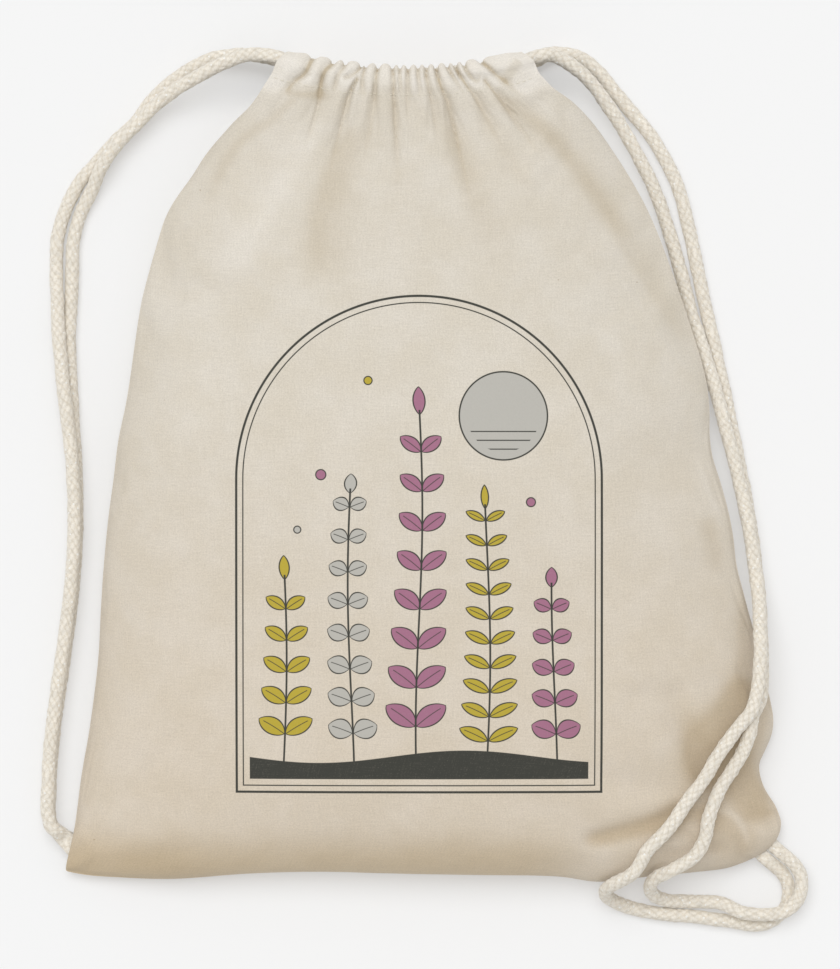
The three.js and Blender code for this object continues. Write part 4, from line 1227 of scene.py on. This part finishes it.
def cutPattern(grid, panelFrom):  # the same rows laid flat, at the width that the cloth was cut to
    across, down = laidFlat(grid)
    width = across[:, -1]
    fullness = np.where(np.arange(len(grid)) < panelFrom - 3, gather["hemFullness"], gather["fullness"])
    fullness = np.convolve(np.pad(fullness, 3, mode="edge"), np.ones(7) / 7, mode="valid")
    full = width * (1 + gather["slack"]) + np.maximum(0, gather["cutWidth"] - width) * fullness
    share = across / width[:, None] - 0.5
    return np.dstack([share * full[:, None], -down, 0 * share])


def settleCloth(hem, panel, facing):
    hemRows, panelRows, columns = gather["hemRows"], gather["panelRows"], gather["columns"]
    start = np.concatenate([resample(hem, hemRows, columns)[:-1], resample(panel, panelRows, columns)])
    flat = cutPattern(start, hemRows)
    rows = len(start)
    piece = addMesh("clothAtWork", start.reshape(-1, 3) * mm, gridFaces(rows, columns))
    piece.shape_key_add(name="Basis")
    cut = piece.shape_key_add(name="cut")
    cut.data.foreach_set("co", (flat.reshape(-1, 3) * mm).astype(np.float32).ravel())
    held = np.zeros((rows, columns))
    held[[0, rows - 1], :] = 1
    held[:, [0, -1]] = 1
    stitch = start[hemRows - 1]
    dip = foldDepth(stitch[None, :, :2])[0]
    lowest = (dip > gather["heldDip"]) & (dip >= np.maximum(np.roll(dip, 1), np.roll(dip, -1)))
    held[hemRows - 1, lowest] = 1
    group = piece.vertex_groups.new(name="held")
    group.add(np.flatnonzero(held.ravel()).tolist(), 1.0, "REPLACE")
    scene.frame_set(1)
    modifier = piece.modifiers.new("cloth", "CLOTH")
    cloth = modifier.settings
    cloth.rest_shape_key = cut
    cloth.vertex_group_mass = "held"
    cloth.pin_stiffness = 1.0
    cloth.quality = gather["quality"]
    cloth.mass = gather["mass"]
    cloth.tension_stiffness = cloth.compression_stiffness = gather["tension"]
    cloth.shear_stiffness = gather["shear"]
    cloth.bending_model = "ANGULAR"
    cloth.bending_stiffness = gather["bending"]
    cloth.tension_damping = cloth.compression_damping = cloth.shear_damping = gather["damping"]
    cloth.bending_damping = gather["bendDamping"]
    cloth.air_damping = gather["airDamping"]
    cloth.use_pressure = True
    cloth.uniform_pressure_force = gather["pressure"] * facing
    cloth.effector_weights.gravity = 0
    modifier.collision_settings.use_collision = False
    modifier.point_cache.frame_start = 1
    modifier.point_cache.frame_end = gather["frames"]
    for frameNumber in range(1, gather["frames"] + 1):
        scene.frame_set(frameNumber)
    evaluated = piece.evaluated_get(bpy.context.evaluated_depsgraph_get())
    settled = np.zeros(rows * columns * 3)
    evaluated.data.vertices.foreach_get("co", settled)
    settled = settled.reshape(rows, columns, 3) / mm
    bpy.data.objects.remove(piece)
    scene.frame_set(1)
    move = settled - start
    size = np.linalg.norm(move, axis=-1, keepdims=True)
    print(f"stage: cloth settled, moved {size.mean():.2f} mm, at most {size.max():.1f}")
    move = move * np.minimum(1, gather["farthest"] / np.maximum(size, 1e-6))
    hemMove = resample(move[:hemRows], len(hem), hem.shape[1])
    panelMove = resample(move[hemRows - 1 :], len(panel), panel.shape[1])
    return hem + hemMove, panel + panelMove


def softValley(whole, stitchRow):  # the stitch line lies in a soft valley, not in a sharp one
    reach = folding["valleyRows"]
    rows = np.arange(stitchRow - reach, stitchRow + reach + 1)
    weight = (1 - (np.abs(rows - stitchRow) / (reach + 1)) ** 2)[:, None, None] * 0.5
    for _ in range(folding["valleyPasses"]):
        mean = (whole[rows - 1] + whole[rows + 1]) / 2
        whole[rows] = between(whole[rows], mean, weight)
    return whole


def sheetPieces(side, facing, material):
    hem, panel = sheetGrid(facing)
    count = len(hem)
    creases = foldDepth(np.concatenate([hem[:-1], panel])[..., :2], sharp=True) * (facing > 0)
    if facing > 0:
        hem, panel = settleCloth(hem, panel, facing)
    whole = softValley(np.concatenate([hem[:-1], panel]), count - 1)
    whole = whole - normalsOf(whole) * (facing * folding["creaseDepth"]) * creases[..., None]
    whole[:count] = clearOfCords(whole[:count], frontHemZ if facing > 0 else backHemZ)
    uv = clothUv(whole)
    hemPiece = clothObject(
        side + "Hem", whole[:count], uv[:count], side + "_hem_channel", facing, clothInside
    )
    panelPiece = clothObject(
        side + "Panel", whole[count - 1 :], uv[count - 1 :], side + "_panel", facing, material
    )
    print(f"stage: {side} sheet")
    return whole[count - 1 :]


panelRows = {
    "front": sheetPieces("front", 1, clothMaterial("printed cotton", True)),
    "back": sheetPieces("back", -1, clothInside),
}

# Sewing thread: each stitch is a short round thread pressed into the cloth.
threadLook = {
    "stitch": 2.5, "gap": 0.9, "diameter": 0.42, "lift": 0.12, "dive": 0.34, "wander": 0.1, "sides": 7,
    "lowest": 0.02, "colour": (0.80, 0.75, 0.64), "darker": 0.82,
}


def threadMaterial():
    material, shader, base = newMaterial("sewing thread", Roughness=0.7, Sheen_Weight=0.3)
    place = base.node("TexCoord", output=3)
    twist = base.node("TexWave", {"Vector": place, "Scale": 900.0, "Distortion": 2.0})
    dark = tuple(threadLook["darker"] * part for part in threadLook["colour"])
    dress(shader, twist.ramp(0.0, 1.0).mixColour(dark, threadLook["colour"]), twist, 0.05, 0.6)
    return material


thread = threadMaterial()


def threadPiece(name, paths):
    verts, faces = [], []
    sides = threadLook["sides"]
    angle = 2 * math.pi * np.arange(sides) / sides
    for path in paths:
        line = evenLine(path, 0.5)
        side, up = framesAlong(line)
        share = np.linspace(-1, 1, len(line))
        size = threadLook["diameter"] / 2 * np.sqrt(np.maximum(0.08, 1 - np.abs(share) ** 4))
        ring = side[:, None] * np.cos(angle)[None, :, None] + up[:, None] * np.sin(angle)[None, :, None]
        first, last = len(verts), len(verts) + (len(line) - 1) * sides
        verts.extend((line[:, None] + ring * size[:, None, None]).reshape(-1, 3))
        faces.extend([first + k for k in face] for face in gridFaces(len(line), sides, wrapColumns=True))
        faces.extend([list(range(first, first + sides)), list(range(last, last + sides))[::-1]])
    verts = np.array(verts)
    verts[:, 2] = np.maximum(verts[:, 2], threadLook["lowest"])
    piece = addMesh(name, verts * mm, faces)
    turnOutward(piece)
    piece.data.materials.append(thread)
    putOn(piece, "cotton_cord", "bag")


def stitchesAlong(row, normals, skip=2.0):
    run = lengthsAlong(row)
    rng = np.random.default_rng(5)
    rise = threadLook["lift"] - threadLook["dive"] * np.abs(np.linspace(-1, 1, 6)) ** 3
    paths = []
    at = skip
    while at + threadLook["stitch"] < run[-1] - skip:
        places = np.linspace(at, at + threadLook["stitch"], 6)
        points = pointsAt(row, run, places) + unit(pointsAt(normals, run, places)) * rise[:, None]
        points[:, 1] += threadLook["wander"] * rng.standard_normal()
        paths.append(points)
        at += threadLook["stitch"] + threadLook["gap"]
    return paths


# The turned-in allowance of each seam, inside the bag, and the stitches that hold it.
allowance = {
    "stations": 130, "rows": 9, "from": 1.4, "to": 9.6, "thickness": 1.1, "sway": (0.5, 0.3),
    "stitchRise": 0.55,
}


def seamPieces(side, edge, heights, start, stop, inward):
    stations = np.linspace(start, stop, allowance["stations"])
    line = atShares(edges[edge], stations)
    line[:, 2] = heights(stations)
    ahead = unit(np.gradient(line[:, :2], axis=0))
    aside = np.stack([-ahead[:, 1], ahead[:, 0]], -1) * inward
    slow, fast = allowance["sway"]
    sway = slow * np.sin(stations * 61.0) + fast * np.sin(stations * 143.0)
    inwards = np.linspace(allowance["from"], allowance["to"], allowance["rows"])
    grid = [line + np.column_stack([aside * d, sway * (d / allowance["to"]) ** 2]) for d in inwards]
    points = np.concatenate(grid) * mm
    faces = gridFaces(allowance["rows"], allowance["stations"])
    piece = addMesh(edge + "SeamAllowance", points, faces, points[:, :2])
    piece.data.materials.append(clothInside)
    applyModifier(piece, "SOLIDIFY", thickness=allowance["thickness"] * mm, offset=0.0)
    putOn(piece, "cotton_cloth", "bag", side + "_seam")
    stitched = grid[1] + allowance["stitchRise"] * skyward
    threadPiece(edge + "SeamStitches", stitchesAlong(stitched, skyward + 0 * line))


seamPieces("left_side", "left", lambda t: seamZ(0 * t, t), 0.09, 0.93, 1)
seamPieces("right_side", "right", lambda t: seamZ(0 * t + 1, t), 0.09, 0.93, -1)
seamPieces("bottom", "bottom", lambda t: seamZ(t, 0 * t + 1), 0.06, 0.95, 1)

for side, facing in (("front", 1), ("back", -1)):
    rows = panelRows[side]
    normals = normalsOf(rows[:6]) * facing
    threadPiece(side + "HemStitches", stitchesAlong(rows[2], normals[2]))
print("stage: seams and stitches")
